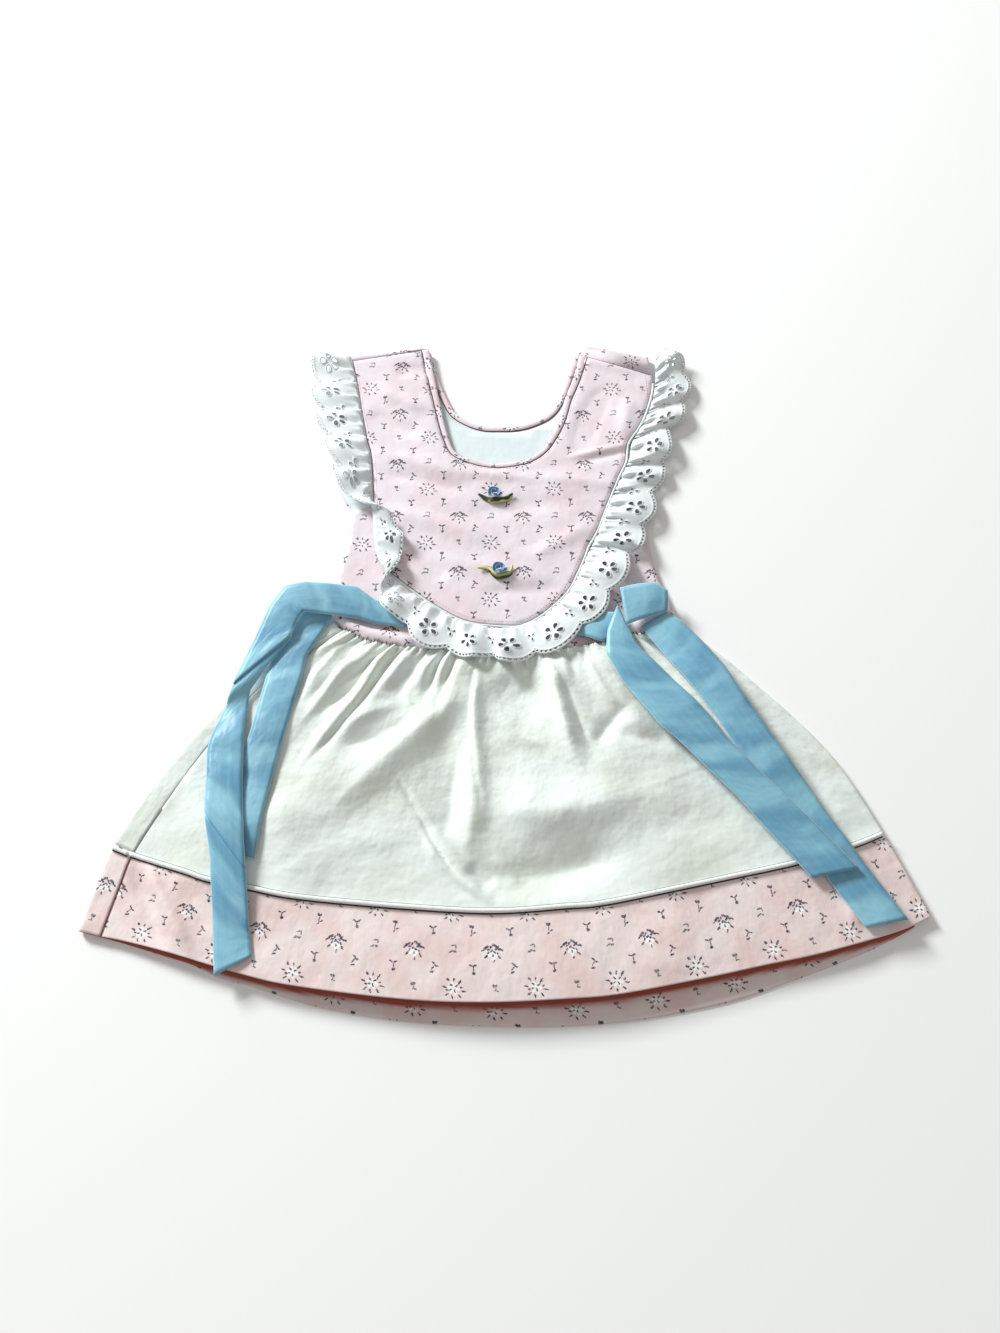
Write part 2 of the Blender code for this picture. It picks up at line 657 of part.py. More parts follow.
class Shoulder:
    """The line over which a shoulder of the back turns onto the front."""

    def __init__(self, line):
        self.start, self.end = (np.array(point, float) for point in line)
        self.run = (self.end - self.start) / np.linalg.norm(self.end - self.start)
        self.out = np.array([-self.run[1], self.run[0]])
        if self.out[1] < 0:
            self.out = -self.out
        self.inset = SHOULDER_FOLD + COTTON / 2
        self.half_turn = math.pi * SHOULDER_FOLD

    def past(self, points):
        """How far flat points lie past the start of the fold."""
        return (np.asarray(points, float) - self.start) @ self.out + self.inset

    def at(self, along, past):
        """A flat point this far past the fold's start, along the line from 0 to 1."""
        return self.start + (self.end - self.start) * along + self.out * (past - self.inset)

    def unfolded(self, point):
        """Where a point on the front lies in the flat cut."""
        within = -(np.array(point, float) - self.start) @ self.out
        return np.array(point, float) + self.out * (2 * within - 2 * self.inset + self.half_turn - GAP)

    def turned(self, points):
        """Middle points and wall directions of flat points past the fold."""
        past = self.past(points)
        turn = np.clip(past / SHOULDER_FOLD, 0, math.pi)
        straight = np.maximum(past - self.half_turn, 0)
        reach = SHOULDER_FOLD * np.sin(turn) - straight
        plan = points - self.out * (past - reach)[:, None]
        height = COTTON / 2 + SHOULDER_FOLD * (1 - np.cos(turn))
        middle = np.column_stack([plan, height])
        return middle, np.column_stack([self.out * np.sin(turn)[:, None], -np.cos(turn)])


def make_bodice_back():
    """The back bodice, whose shoulders turn over onto the front, its white lining and neck binding."""
    neck = Curve(NECK_BACK)
    neck_places = np.linspace(0.03, 0.97, NECK_POINTS)
    binding_edge = neck(neck_places) + neck.outward(neck_places, 1) * BACK_BINDING
    panel_neck = neck(neck_places) + neck.outward(neck_places, 1) * (BACK_BINDING + GAP)
    left, right = Shoulder(SHOULDER_LEFT), Shoulder(SHOULDER_RIGHT)
    fold_steps = np.linspace(0, left.half_turn, 4)
    inner_share = (BACK_BINDING + GAP) / np.linalg.norm(right.end - right.start)
    panel_neck = panel_neck[[left.past([p])[0] < -2 and right.past([p])[0] < -2 for p in panel_neck]]
    outline = np.vstack([
        Curve(SIDE_RIGHT[::-1]).every(EDGE_STEP)[:-1], Curve(ARMHOLE_RIGHT[::-1]).every(EDGE_STEP),
        [right.at(1.0, step) for step in fold_steps],
        [right.unfolded(SEAM_RIGHT[1])], [right.unfolded(SEAM_RIGHT[0])],
        [right.at(inner_share, step) for step in fold_steps[::-1]],
        panel_neck[::-1],
        [left.at(inner_share, step) for step in fold_steps],
        [left.unfolded(SEAM_LEFT[0])], [left.unfolded(SEAM_LEFT[1])],
        [left.at(1.0, step) for step in fold_steps[::-1]],
        Curve(ARMHOLE_LEFT).every(EDGE_STEP)[:-1], Curve(SIDE_LEFT).every(EDGE_STEP)])
    spread = even_points(outline, BACK_SPACING)
    spread = spread[(left.past(spread) < -FOLD_CLEAR) & (right.past(spread) < -FOLD_CLEAR)]
    rows = [shoulder.at(share, step) for shoulder in (left, right) for step in fold_steps
            for share in FOLD_SHARES]
    flat, faces = triangles(outline, np.vstack([spread, rows]))
    middle = np.column_stack([flat, np.full(len(flat), COTTON / 2)])
    way = np.tile((0.0, 0.0, -1.0), (len(flat), 1))
    for shoulder, sign in ((left, -1), (right, 1)):
        beyond = (shoulder.past(flat) > 0) & (flat[:, 0] * sign > 0)
        middle[beyond], way[beyond] = shoulder.turned(flat[beyond])
    add_piece("bodice_back", middle + way * COTTON / 2, middle - way * COTTON / 2, faces, PINK_PRINT)

    lining = np.vstack([
        Curve(SIDE_RIGHT[::-1]).moved(-LINING_INSET, 1).every(EDGE_STEP),
        Curve(ARMHOLE_RIGHT[::-1]).moved(-LINING_INSET, 1).every(EDGE_STEP),
        panel_neck[::-1], Curve(ARMHOLE_LEFT).moved(-LINING_INSET, 1).every(EDGE_STEP),
        Curve(SIDE_LEFT).moved(-LINING_INSET, 1).every(EDGE_STEP)])
    below_fold = np.maximum(left.past(lining), right.past(lining)) + LINING_BELOW_FOLD
    lining[:, 1] -= np.maximum(below_fold, 0) / left.out[1]
    kept = np.concatenate([[True], np.linalg.norm(np.diff(lining, axis=0), axis=1) > 0.8])
    flat_panel("back_lining", lining[kept], BACK_SPACING, lambda p: np.full(len(p), LINING_Z), LINING,
               WHITE_COTTON)
    strip("back_neck_binding", neck(neck_places), binding_edge, 0.0, LINING_Z + LINING, PINK_PRINT)


def strip(name, inner_edge, outer_edge, low, high, look):
    """A narrow flat band between two edges, square in section."""
    count = len(inner_edge)
    flat = np.vstack([inner_edge, outer_edge])
    faces = []
    for i in range(count - 1):
        faces += [(i, i + 1, count + i), (i + 1, count + i + 1, count + i)]
    inner = np.column_stack([flat, np.full(len(flat), low)])
    outer = np.column_stack([flat, np.full(len(flat), high)])
    add_piece(name, outer, inner, np.array(faces), look)


def bib_rise(points):
    """Soft swells in the bib, flat along its seams."""
    x, y = points[:, 0], points[:, 1]
    swell = 0.8 * np.exp(-((x + 45) / 26) ** 2 - ((y - 120) / 40) ** 2)
    swell += 0.7 * np.exp(-((x - 38) / 24) ** 2 - ((y - 96) / 34) ** 2)
    swell += 0.6 * np.exp(-((x - 2) / 60) ** 2 - ((y - 52) / 16) ** 2)
    return BIB_Z + swell


def front_rise(points):
    """The bodice front's underside, puffed in the strip under the left tie."""
    puff = np.exp(-((points[:, 1] - 1) / 6) ** 2) * smoothstep((-70 - points[:, 0]) / 12)
    return FRONT_Z + STRIP_PUFF * puff * smoothstep((points[:, 0] + 121) / 8)


def make_front():
    """The bodice front under the bib, the bib itself and the binding of its neck."""
    outline = np.vstack([
        Curve(SIDE_LEFT).every(12)[:-1], Curve(WAIST_FRONT).every(10)[:-1],
        Curve(SIDE_RIGHT[::-1]).every(12), FRONT_TOP])
    flat_panel("bodice_front", outline, 13, front_rise, COTTON, PINK_PRINT)

    neck = Curve(NECK_FRONT)
    places = np.linspace(0, 1, NECK_POINTS)
    width = BINDING_MIDDLE + (BINDING_STRAP - BINDING_MIDDLE) * np.abs(2 * places - 1) ** 1.5
    out = neck.outward(places, 1)
    edge = neck(places)
    bib_neck = edge + out * (width + GAP)[:, None]
    bib = np.vstack([Curve(BIB_LEFT).every(11)[:-1], Curve(BIB_RIGHT[::-1]).every(11), bib_neck[::-1]])
    flat_panel("bib", bib, 12, bib_rise, COTTON, PINK_PRINT)
    strip("front_neck_binding", edge, edge + out * width[:, None], BIB_Z, BIB_Z + COTTON + GAP, PINK_PRINT)


def tube(name, path, radius, sides, look):
    """A round cord along a path, closed at both ends."""
    ahead = np.gradient(path, axis=0)
    ahead /= np.linalg.norm(ahead, axis=1, keepdims=True)
    aside = np.cross(ahead, (0, 0, 1))
    aside /= np.linalg.norm(aside, axis=1, keepdims=True)
    up = np.cross(aside, ahead)
    turns = 2 * math.pi * np.arange(sides) / sides
    rings = (path[:, None] + radius * (np.cos(turns)[:, None] * aside[:, None]
                                       + np.sin(turns)[:, None] * up[:, None])).reshape(-1, 3)
    quads = [(i * sides + k, i * sides + (k + 1) % sides, (i + 1) * sides + (k + 1) % sides,
              (i + 1) * sides + k) for i in range(len(path) - 1) for k in range(sides)]
    last = (len(path) - 1) * sides
    caps = [tuple(range(sides))[::-1], tuple(range(last, last + sides))]
    add_mesh(name, rings, quads + caps, look)


def make_piping():
    """The white cord in the seam between the skirt and its hem band."""
    run = Curve(FRONT_SEAM)(np.linspace(*PIPING_RUN, 60)) + (0, GAP / 2)
    height = front_middle(run) + COTTON / 2 + PIPING_RADIUS + GAP
    tube("hem_piping", np.column_stack([run, height]), PIPING_RADIUS, 5, WHITE_CORD)


def tie_sections(rows):
    """Sections along a tie, with its tucks: left x, y, right x, y, lift and rise."""
    table = np.array(rows, float)
    middle = (table[:, :2] + table[:, 2:4]) / 2
    along = np.concatenate([[0], np.cumsum(np.linalg.norm(np.diff(middle, axis=0), axis=1))])
    tucks = [i for i in range(len(table)) if table[i, 5]]
    found = []
    resume = 0.0
    for tuck in tucks + [None]:
        over = tuck is not None and table[tuck, 5] > 0
        before = 0.0 if tuck is None else TUCK_SHORT if over else TUCK_LONG
        stop = (along[-1] if tuck is None else along[tuck]) - before
        for place in np.linspace(resume, stop, max(2, round((stop - resume) / TIE_STEP) + 1)):
            found.append([np.interp(place, along, column) for column in table[:, :5].T] + [0.0])
        if tuck is None:
            break
        row = table[tuck]
        run = middle[tuck + 1] - middle[tuck] if over else middle[tuck] - middle[tuck - 1]
        level = row[2:4] - row[:2]
        forward = np.array([level[1], -level[0]]) / np.linalg.norm(level)
        run = run / (run @ forward)
        profile = TUCK if over else [(-past, rise, share) for past, rise, share in TUCK[::-1]]
        for number, (past, rise, share) in enumerate(profile):
            if not over and number > 3:
                share *= LAPPED_SHARE + (1 - LAPPED_SHARE) * max(0.0, 1 - (number - 3) / 3)
            left = row[:2] + run * past
            found.append([*left, *(left + level * share), row[4], rise])
        resume = along[tuck] + (TUCK_LONG if over else TUCK_SHORT)
    return np.array(found)


def make_tie(name, rows, below, columns=3):
    """A satin ribbon that lies on the named pieces through its sections."""
    sections = tie_sections(rows)
    across = np.linspace(0, 1, columns)[:, None]
    plan = sections[:, None, :2] * (1 - across) + sections[:, None, 2:4] * across
    probes = np.linspace(-0.06, 1.06, 5)
    base = np.array([max(top_of(below, *(row[:2] * (1 - p) + row[2:4] * p), TIE_REACH) for p in probes)
                     for row in sections])
    padded = np.pad(base, 1, mode="edge")
    envelope = np.maximum(np.maximum(padded[:-2], padded[1:-1]), padded[2:])
    height = envelope + GAP + SATIN / 2 + sections[:, 4] + sections[:, 5]
    points = np.dstack([plan, np.repeat(height[:, None], columns, axis=1)]).reshape(-1, 3)
    corners = [i * columns + j for i in range(len(sections) - 1) for j in range(columns - 1)]
    faces = np.array([face for a in corners for face in (
        (a, a + 1, a + columns), (a + 1, a + columns + 1, a + columns))])
    half = vertex_normals(points, faces) * SATIN / 2
    add_piece(name, points + half, points - half, faces, BLUE_SATIN)


def make_ties():
    ground = ["skirt_front", "hem_band_front", "skirt_back", "hem_band_back", "bodice_front",
              "bodice_back", "back_lining", "hem_piping"]
    make_tie("tie_left_back", LEFT_BACK_TIE, ground)
    make_tie("tie_left_front", LEFT_FRONT_TIE, ground + ["tie_left_back"])
    make_tie("tie_right_front_start", RIGHT_FRONT_TIE, ground)
    make_tie("tie_right_front", RIGHT_FRONT_TAIL, ground)
    right = ["tie_right_front_start", "tie_right_front"]
    make_tie("tie_right_back", RIGHT_BACK_TIE, ground + right)
    make_tie("tie_right_loop", RIGHT_KNOT, ground + right + ["tie_right_back"])


def ruffle_middle(flat, table):
    """The middle of the ruffle's wall for points of its flat cut."""
    fraction = flat[:, 0] / (SCALLOPS * SCALLOP_WIDTH)
    out = flat[:, 1] / RUFFLE_DEPTH
    placed = table(fraction)
    points = placed[:, :3] + (placed[:, 3:] - placed[:, :3]) * out[:, None]
    phase = 2 * math.pi * flat[:, 0] / SCALLOP_WIDTH
    wave = 0.5 - 0.5 * np.cos(phase + 0.9 * np.sin(phase * 5 / 11))
    swell = smoothstep(out / 0.7) * (0.72 + 0.28 * np.sin(phase * 3 / 11 + 1.0))
    pleat = 0.5 - 0.5 * np.cos(phase * PLEATS_PER_SCALLOP)
    rise = WAVE_HEIGHT * wave * swell
    rise += PLEAT_HEIGHT * pleat * (1 - smoothstep(out / 0.6)) * smoothstep(out / 0.12)
    ahead = -table.outward(fraction, 1) @ np.array([[0, 1], [-1, 0]])
    points[:, 2] += rise + RUFFLE_ARCH * np.sin(math.pi * np.clip(out, 0, 1))
    points[:, :2] += ahead * (WAVE_LEAN * rise)[:, None]
    return points


def petal(centre, angle):
    """A pointed oval eyelet, five points."""
    along = np.array([math.cos(angle), math.sin(angle)])
    aside = np.array([-along[1], along[0]])
    reach = PETAL_REACH
    return [centre + along * (reach + PETAL_LENGTH * a) + aside * PETAL_WIDTH * b
            for a, b in ((-0.5, 0), (-0.05, 0.42), (0.4, 0.36), (0.4, -0.36), (-0.05, -0.42))]


def make_ruffle():
    """The gathered eyelet lace with its scalloped edge, a flower of five eyelets in each scallop."""
    length = SCALLOPS * SCALLOP_WIDTH
    u_edge = np.linspace(0, length, SCALLOPS * 6 + 1)
    part = np.mod(u_edge / SCALLOP_WIDTH, 1.0)
    v_edge = RUFFLE_DEPTH * (1 - SCALLOP_RISE * (2 * part - 1) ** 2)
    scalloped = np.column_stack([u_edge, v_edge])
    u_root = np.linspace(0, length, SCALLOPS * 4 + 1)
    root_line = np.column_stack([u_root, np.zeros(len(u_root))])
    ends = np.array([(length, RUFFLE_DEPTH * f) for f in (0.3, 0.6)])
    starts = np.array([(0, RUFFLE_DEPTH * f) for f in (0.6, 0.3)])
    outline = np.vstack([root_line, ends, scalloped[::-1], starts])
    holes = []
    for i in range(SCALLOPS):
        centre = np.array([(i + 0.5) * SCALLOP_WIDTH, RUFFLE_DEPTH * FLOWER_DEPTH])
        for k in range(PETALS):
            holes.append(petal(centre, math.pi / 2 + 2 * math.pi * k / PETALS))
    inner = [(u, RUFFLE_DEPTH * 0.2) for u in u_root[1:-1]]
    inner += [(i * SCALLOP_WIDTH, RUFFLE_DEPTH * f) for i in range(1, SCALLOPS) for f in (0.42, 0.64)]
    inner += [((i + 0.5) * SCALLOP_WIDTH, RUFFLE_DEPTH * FLOWER_DEPTH) for i in range(SCALLOPS)]
    flat, faces = triangles(outline, inner, holes)
    middle = ruffle_middle(flat, Curve(RUFFLE_ROWS))
    below = list(laid)
    ground = np.array([top_of(below, x, y, RUFFLE_REACH) for x, y in middle[:, :2]])
    middle[:, 2] = np.maximum(middle[:, 2], ground + RUFFLE_CLEAR)
    normals = vertex_normals(middle, faces)
    half = normals * LACE / 2
    add_piece("eyelet_ruffle", middle + half, middle - half, faces, WHITE_LACE)


def make_roses():
    """Two ribbon roses on the bib, each on a pair of leaf loops."""
    for number, (x, y) in enumerate(ROSE_PLACES, start=1):
        base = max(top_of(["bib"], x + dx, y + dy) for dx in (-9, 0, 9) for dy in (-3, 0, 3)) + GAP
        turns = np.linspace(0, 2 * math.pi, 28, endpoint=False)
        waist = 0.35 + 0.65 * np.sin(2.4 * np.abs(np.cos(turns)))
        leaf_x = x + LEAF_REACH * np.abs(np.cos(turns)) ** 0.6 * np.sign(np.cos(turns))
        outline = np.column_stack([leaf_x, y - 1.5 + LEAF_WIDTH / 2 * np.sin(turns) * waist])
        flat_panel(f"rose_leaves_{number}", outline, 3.5, lambda p, z=base: np.full(len(p), z), LEAF,
                   GREEN_SATIN)
        rings = []
        for share, out in ROSE_RINGS:
            turns = 2 * math.pi * np.arange(12) / 12 + 0.5 * share
            reach = ROSE_RADIUS * out * (1 + 0.09 * np.cos(3 * turns + 2 * share))
            rings.append(np.column_stack([x + reach * np.cos(turns), y + reach * np.sin(turns),
                                          np.full(12, base + LEAF + GAP + ROSE_HEIGHT * share)]))
        quads = [(r * 12 + k, r * 12 + (k + 1) % 12, (r + 1) * 12 + (k + 1) % 12, (r + 1) * 12 + k)
                 for r in range(len(rings) - 1) for k in range(12)]
        last = 12 * (len(rings) - 1)
        caps = [tuple(range(12))[::-1], tuple(range(last, last + 12))]
        add_mesh(f"rose_{number}", np.vstack(rings), quads + caps, BLUE_SATIN)


for old in list(bpy.data.objects):
    bpy.data.objects.remove(old)
make_bodice_back()
make_skirt()
make_front()
make_piping()
make_ties()
make_ruffle()
make_roses()
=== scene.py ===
# %% [markdown]
# # A toddler's apron dress, laid flat
#
# The real dress is cut from two cottons, a plain white one for the skirt and a pink one with a small
# flower print for the bodice, the bib and the hem band. A gathered eyelet trim runs round the bib, blue
# satin ribbon is tied at both sides, and two ribbon roses are sewn on the bib. The dress lies on its
# back, so every piece is a thin sheet that rests on the one below it. This lesson makes each piece from
# its own outline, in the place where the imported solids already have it.

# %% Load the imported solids
import math

import bmesh
import bpy
import numpy as np
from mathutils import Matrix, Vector
from mathutils.bvhtree import BVHTree
from mathutils.geometry import delaunay_2d_cdt


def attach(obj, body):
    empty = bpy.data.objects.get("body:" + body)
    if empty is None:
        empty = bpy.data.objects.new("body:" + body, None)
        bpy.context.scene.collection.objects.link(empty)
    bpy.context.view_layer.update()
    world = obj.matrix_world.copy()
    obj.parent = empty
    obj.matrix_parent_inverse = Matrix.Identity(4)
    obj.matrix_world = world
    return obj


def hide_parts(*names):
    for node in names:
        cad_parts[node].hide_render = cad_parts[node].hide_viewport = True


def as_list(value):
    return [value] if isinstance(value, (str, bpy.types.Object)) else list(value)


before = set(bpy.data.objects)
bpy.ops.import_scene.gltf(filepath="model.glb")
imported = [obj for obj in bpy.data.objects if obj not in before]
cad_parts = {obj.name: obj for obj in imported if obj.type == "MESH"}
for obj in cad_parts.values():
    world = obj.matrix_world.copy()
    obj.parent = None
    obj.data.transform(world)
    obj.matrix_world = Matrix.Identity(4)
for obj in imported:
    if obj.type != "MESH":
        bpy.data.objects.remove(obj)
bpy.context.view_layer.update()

# %% [markdown]
# ## The camera, the light and the floor
#
# The dress was photographed from above its hem, with a wide lens held about 0.64 m over the floor and
# tipped down 67 degrees. A camera with the same place and lens gives the same outline. Soft light from
# the upper left leaves every fold with a light side and a shaded side.

# %% Camera, light and floor
CENTRE_Y = -3.95
CAMERA_HEIGHT = 0.644
CAMERA_TILT = 67.0


def srgb(red, green, blue):
    """A linear colour from the 0 to 255 values that a colour picker shows."""
    values = np.array([red, green, blue]) / 255
    linear = np.where(values <= 0.04045, values / 12.92, ((values + 0.055) / 1.055) ** 2.4)
    return (*linear.tolist(), 1.0)


def soft_light(name, place, size, watts, colour=(1, 1, 1)):
    """A square lamp that faces the middle of the dress."""
    lamp = bpy.data.lights.new(name, "AREA")
    lamp.shape, lamp.size, lamp.energy, lamp.color = "SQUARE", size, watts, colour
    lamp_object = bpy.data.objects.new(name, lamp)
    lamp_object.location = place
    lamp_object.rotation_euler = (-Vector(place)).to_track_quat("-Z", "Y").to_euler()
    bpy.context.scene.collection.objects.link(lamp_object)


camera = bpy.data.cameras.new("camera")
camera.lens, camera.sensor_fit, camera.sensor_width = 27.0, "AUTO", 36.0
camera_object = bpy.data.objects.new("camera", camera)
camera_object.location = (-0.0039, -0.298 - CENTRE_Y / 1000, CAMERA_HEIGHT)
camera_object.rotation_euler = (math.radians(90 - CAMERA_TILT), 0, 0)
bpy.context.scene.collection.objects.link(camera_object)
bpy.context.scene.camera = camera_object
bpy.context.scene.view_settings.view_transform = "Standard"

soft_light("window", (-2.1, 2.1, 1.45), 0.8, 155, (0.96, 1.0, 1.0))
world = bpy.data.worlds.new("room")
world.use_nodes = True
world.node_tree.nodes["Background"].inputs["Color"].default_value = (1.0, 0.985, 0.95, 1)
world.node_tree.nodes["Background"].inputs["Strength"].default_value = 0.42
bpy.context.scene.world = world

bpy.ops.mesh.primitive_plane_add(size=6)
floor = bpy.context.object
floor.name = "floor"
paint = bpy.data.materials.new("floor_paint")
paint.use_nodes = True
paint.node_tree.nodes["Principled BSDF"].inputs["Base Color"].default_value = (0.96, 0.96, 0.96, 1)
paint.node_tree.nodes["Principled BSDF"].inputs["Roughness"].default_value = 0.9
floor.data.materials.append(paint)
print("camera", CAMERA_HEIGHT, "m up, tipped", CAMERA_TILT, "degrees")

# %% [markdown]
# ## Curves and sheets
#
# A pattern cutter draws each edge as a smooth curve through a few points, so the first helper does the
# same. The others fill an outline with points, give a sheet its thickness, and find how high the cloth
# already stands at a place, so that the next piece can lie on it. Tables are in millimetres; meshes are
# made in metres. Each mesh carries a UV map in metres of flat cloth, which the weave and the print
# follow.

# %% Curves
MM = 0.001
COTTON = 1.2
SIDE_FOLD = 1.9
SHOULDER_FOLD = 2.15
laid = {}
pieces = {}
areas = {}


def smoothstep(value):
    value = np.clip(value, 0.0, 1.0)
    return value * value * (3 - 2 * value)


class Curve:
    """A round curve through a few points, read by the fraction of its length."""

    def __init__(self, points, per_span=12):
        given = np.array(points, float)
        ends = np.vstack([2 * given[0] - given[1], given, 2 * given[-1] - given[-2]])
        steps = np.linspace(0, 1, per_span, endpoint=False)[:, None]
        spans = []
        for i in range(1, len(ends) - 2):
            before, start, end, after = ends[i - 1:i + 3]
            spans.append(0.5 * (2 * start + (end - before) * steps
                                + (2 * before - 5 * start + 4 * end - after) * steps ** 2
                                + (3 * start - before - 3 * end + after) * steps ** 3))
        self.points = np.vstack(spans + [given[-1:]])
        lengths = np.linalg.norm(np.diff(self.points[:, :2], axis=0), axis=1)
        self.along = np.concatenate([[0], np.cumsum(lengths)])
        self.length = self.along[-1]

    def __call__(self, fraction):
        place = np.asarray(fraction) * self.length
        return np.stack([np.interp(place, self.along, column) for column in self.points.T], axis=-1)

    def every(self, step):
        return self(np.linspace(0, 1, max(2, round(self.length / step) + 1)))

    def outward(self, fraction, side):
        """Sideways in plan, to the right of the run if side is 1, to the left if -1."""
        fraction = np.asarray(fraction)
        run = (self(np.clip(fraction + 0.01, 0, 1)) - self(np.clip(fraction - 0.01, 0, 1)))[..., :2]
        run /= np.linalg.norm(run, axis=-1, keepdims=True)
        return side * np.stack([run[..., 1], -run[..., 0]], axis=-1)

    def moved(self, distance, side):
        fractions = np.linspace(0, 1, len(self.points))
        return Curve((self(fractions)[:, :2] + distance * self.outward(fractions, side))[::6])


class Part:
    """A stretch of a curve, moved inward by an amount that may grow along it."""

    def __init__(self, whole, start, end, inset=None, side=1):
        self.whole, self.start, self.end, self.inset, self.side = whole, start, end, inset, side
        self.length = whole.length * (end - start)

    def at(self, fraction):
        return self.start + (self.end - self.start) * np.asarray(fraction, float)

    def outward(self, fraction, side):
        return self.whole.outward(self.at(fraction), side)

    def __call__(self, fraction):
        places = self.whole(self.at(fraction))
        if self.inset is None:
            return places
        return places - self.outward(fraction, self.side) * np.asarray(self.inset(fraction))[..., None]


def patch(edges, across, down):
    """The plan of a piece between its top, bottom, left and right edges."""
    top, bottom, left, right = edges
    s, t = across[..., None], down[..., None]
    corners = ((1 - s) * (1 - t) * top(0.0) + s * (1 - t) * top(1.0)
               + (1 - s) * t * bottom(0.0) + s * t * bottom(1.0))
    return (1 - t) * top(across) + t * bottom(across) + (1 - s) * left(down) + s * right(down) - corners


def inside(outline, points):
    x, y = points[:, 0], points[:, 1]
    found = np.zeros(len(points), bool)
    for (x0, y0), (x1, y1) in zip(outline, np.roll(outline, -1, axis=0)):
        rise = y1 - y0 if y1 != y0 else 1.0
        found ^= ((y0 > y) != (y1 > y)) & (x < (x1 - x0) * (y - y0) / rise + x0)
    return found


def from_line(line, points, closed=True):
    """The distance of each point from a line of points."""
    nearest = np.full(len(points), np.inf)
    ends = np.roll(line, -1, axis=0) if closed else line[1:]
    for start, end in zip(line, ends):
        run = end - start
        along = np.clip(((points - start) @ run) / max(run @ run, 1e-9), 0, 1)
        nearest = np.minimum(nearest, np.linalg.norm(points - start - along[:, None] * run, axis=1))
    return nearest


def filled(outline, inner, holes=()):
    """Points and triangles that fill an outline through the inner points, round the holes."""
    loops = [np.asarray(outline, float)] + [np.asarray(hole, float) for hole in holes]
    points = [Vector(point) for point in np.vstack(loops + [np.asarray(inner, float).reshape(-1, 2)])]
    edges, first = [], 0
    for loop in loops:
        edges += [(first + i, first + (i + 1) % len(loop)) for i in range(len(loop))]
        first += len(loop)
    found, _, faces, _, _, _ = delaunay_2d_cdt(points, edges, [], 1, 1e-5)
    flat = np.array([(p.x, p.y) for p in found])
    faces = np.array([face for face in faces if len(face) == 3])
    return flat, faces


def even_points(outline, spacing, clear=0.6):
    low, high = np.min(outline, axis=0), np.max(outline, axis=0)
    rows = []
    for i, y in enumerate(np.arange(low[1] + spacing / 2, high[1], spacing * 0.87)):
        x = np.arange(low[0] + spacing * (0.25 + 0.5 * (i % 2)), high[0], spacing)
        rows.append(np.stack([x, np.full(len(x), y)], axis=1))
    points = np.vstack(rows)
    points = points[inside(outline, points)]
    return points[from_line(outline, points) > clear * spacing]


# %% Sheets
def point_normals(points, faces):
    corners = points[faces]
    across = np.cross(corners[:, 2] - corners[:, 0], corners[:, -1] - corners[:, 1])
    if faces.shape[1] == 3:
        across = np.cross(corners[:, 1] - corners[:, 0], corners[:, 2] - corners[:, 0])
    normals = np.zeros_like(points)
    for i in range(faces.shape[1]):
        np.add.at(normals, faces[:, i], across)
    return normals / np.maximum(np.linalg.norm(normals, axis=1, keepdims=True), 1e-9)


def add_mesh(name, points, faces, uv, material, extra=None):
    """An object at the origin from points in the tables' millimetres."""
    mesh = bpy.data.meshes.new(name)
    mesh.from_pydata(((points - (0, CENTRE_Y, 0)) * MM).tolist(), [], faces)
    layer = mesh.uv_layers.new(name="cloth")
    corner = np.empty(len(mesh.loops), np.int64)
    mesh.loops.foreach_get("vertex_index", corner)
    layer.data.foreach_set("uv", (np.asarray(uv)[corner] * MM).ravel())
    for key, values in (extra or {}).items():
        mesh.attributes.new(key, "FLOAT", "POINT").data.foreach_set("value", np.asarray(values, float))
    mesh.shade_smooth()
    mesh.materials.append(material)
    piece = bpy.data.objects.new(name, mesh)
    bpy.context.scene.collection.objects.link(piece)
    pieces[name] = piece
    return piece


def sheet(name, middle, faces, thickness, uv, material, extra=None):
    """Cloth of even thickness round a middle surface, closed along its edges."""
    used = np.unique(faces)
    renumber = np.full(len(middle), -1)
    renumber[used] = np.arange(len(used))
    faces, middle, uv = renumber[faces], middle[used], np.asarray(uv)[used]
    extra = {key: np.tile(np.asarray(values)[used], 2) for key, values in (extra or {}).items()}
    half = point_normals(middle, faces) * thickness / 2
    count, sides = len(middle), faces.shape[1]
    edges = np.concatenate([faces[:, [i, (i + 1) % sides]] for i in range(sides)])
    rim = edges[~np.isin(edges[:, 0] * count + edges[:, 1], edges[:, 1] * count + edges[:, 0])]
    rim = np.column_stack([rim[:, 1], rim[:, 0], rim[:, 0] + count, rim[:, 1] + count])
    all_faces = faces.tolist() + (faces[:, ::-1] + count).tolist() + rim.tolist()
    corners = middle[faces[:, :3]] if sides == 3 else middle[np.vstack([faces[:, :3], faces[:, [0, 2, 3]]])]
    areas[name] = np.linalg.norm(np.cross(corners[:, 1] - corners[:, 0], corners[:, 2] - corners[:, 0]),
                                 axis=1).sum() / 2e6
    laid[name] = BVHTree.FromPolygons((middle + half).tolist(), faces.tolist())
    piece = add_mesh(name, np.vstack([middle + half, middle - half]), all_faces, np.tile(uv, (2, 1)),
                     material, extra)
    print(f"{name}: {len(all_faces)} faces, {areas[name]:.4f} m2")
    return piece


def grid_faces(rows, columns):
    first = (np.arange(rows - 1)[:, None] * columns + np.arange(columns - 1)).ravel()
    return np.column_stack([first, first + columns, first + columns + 1, first + 1])


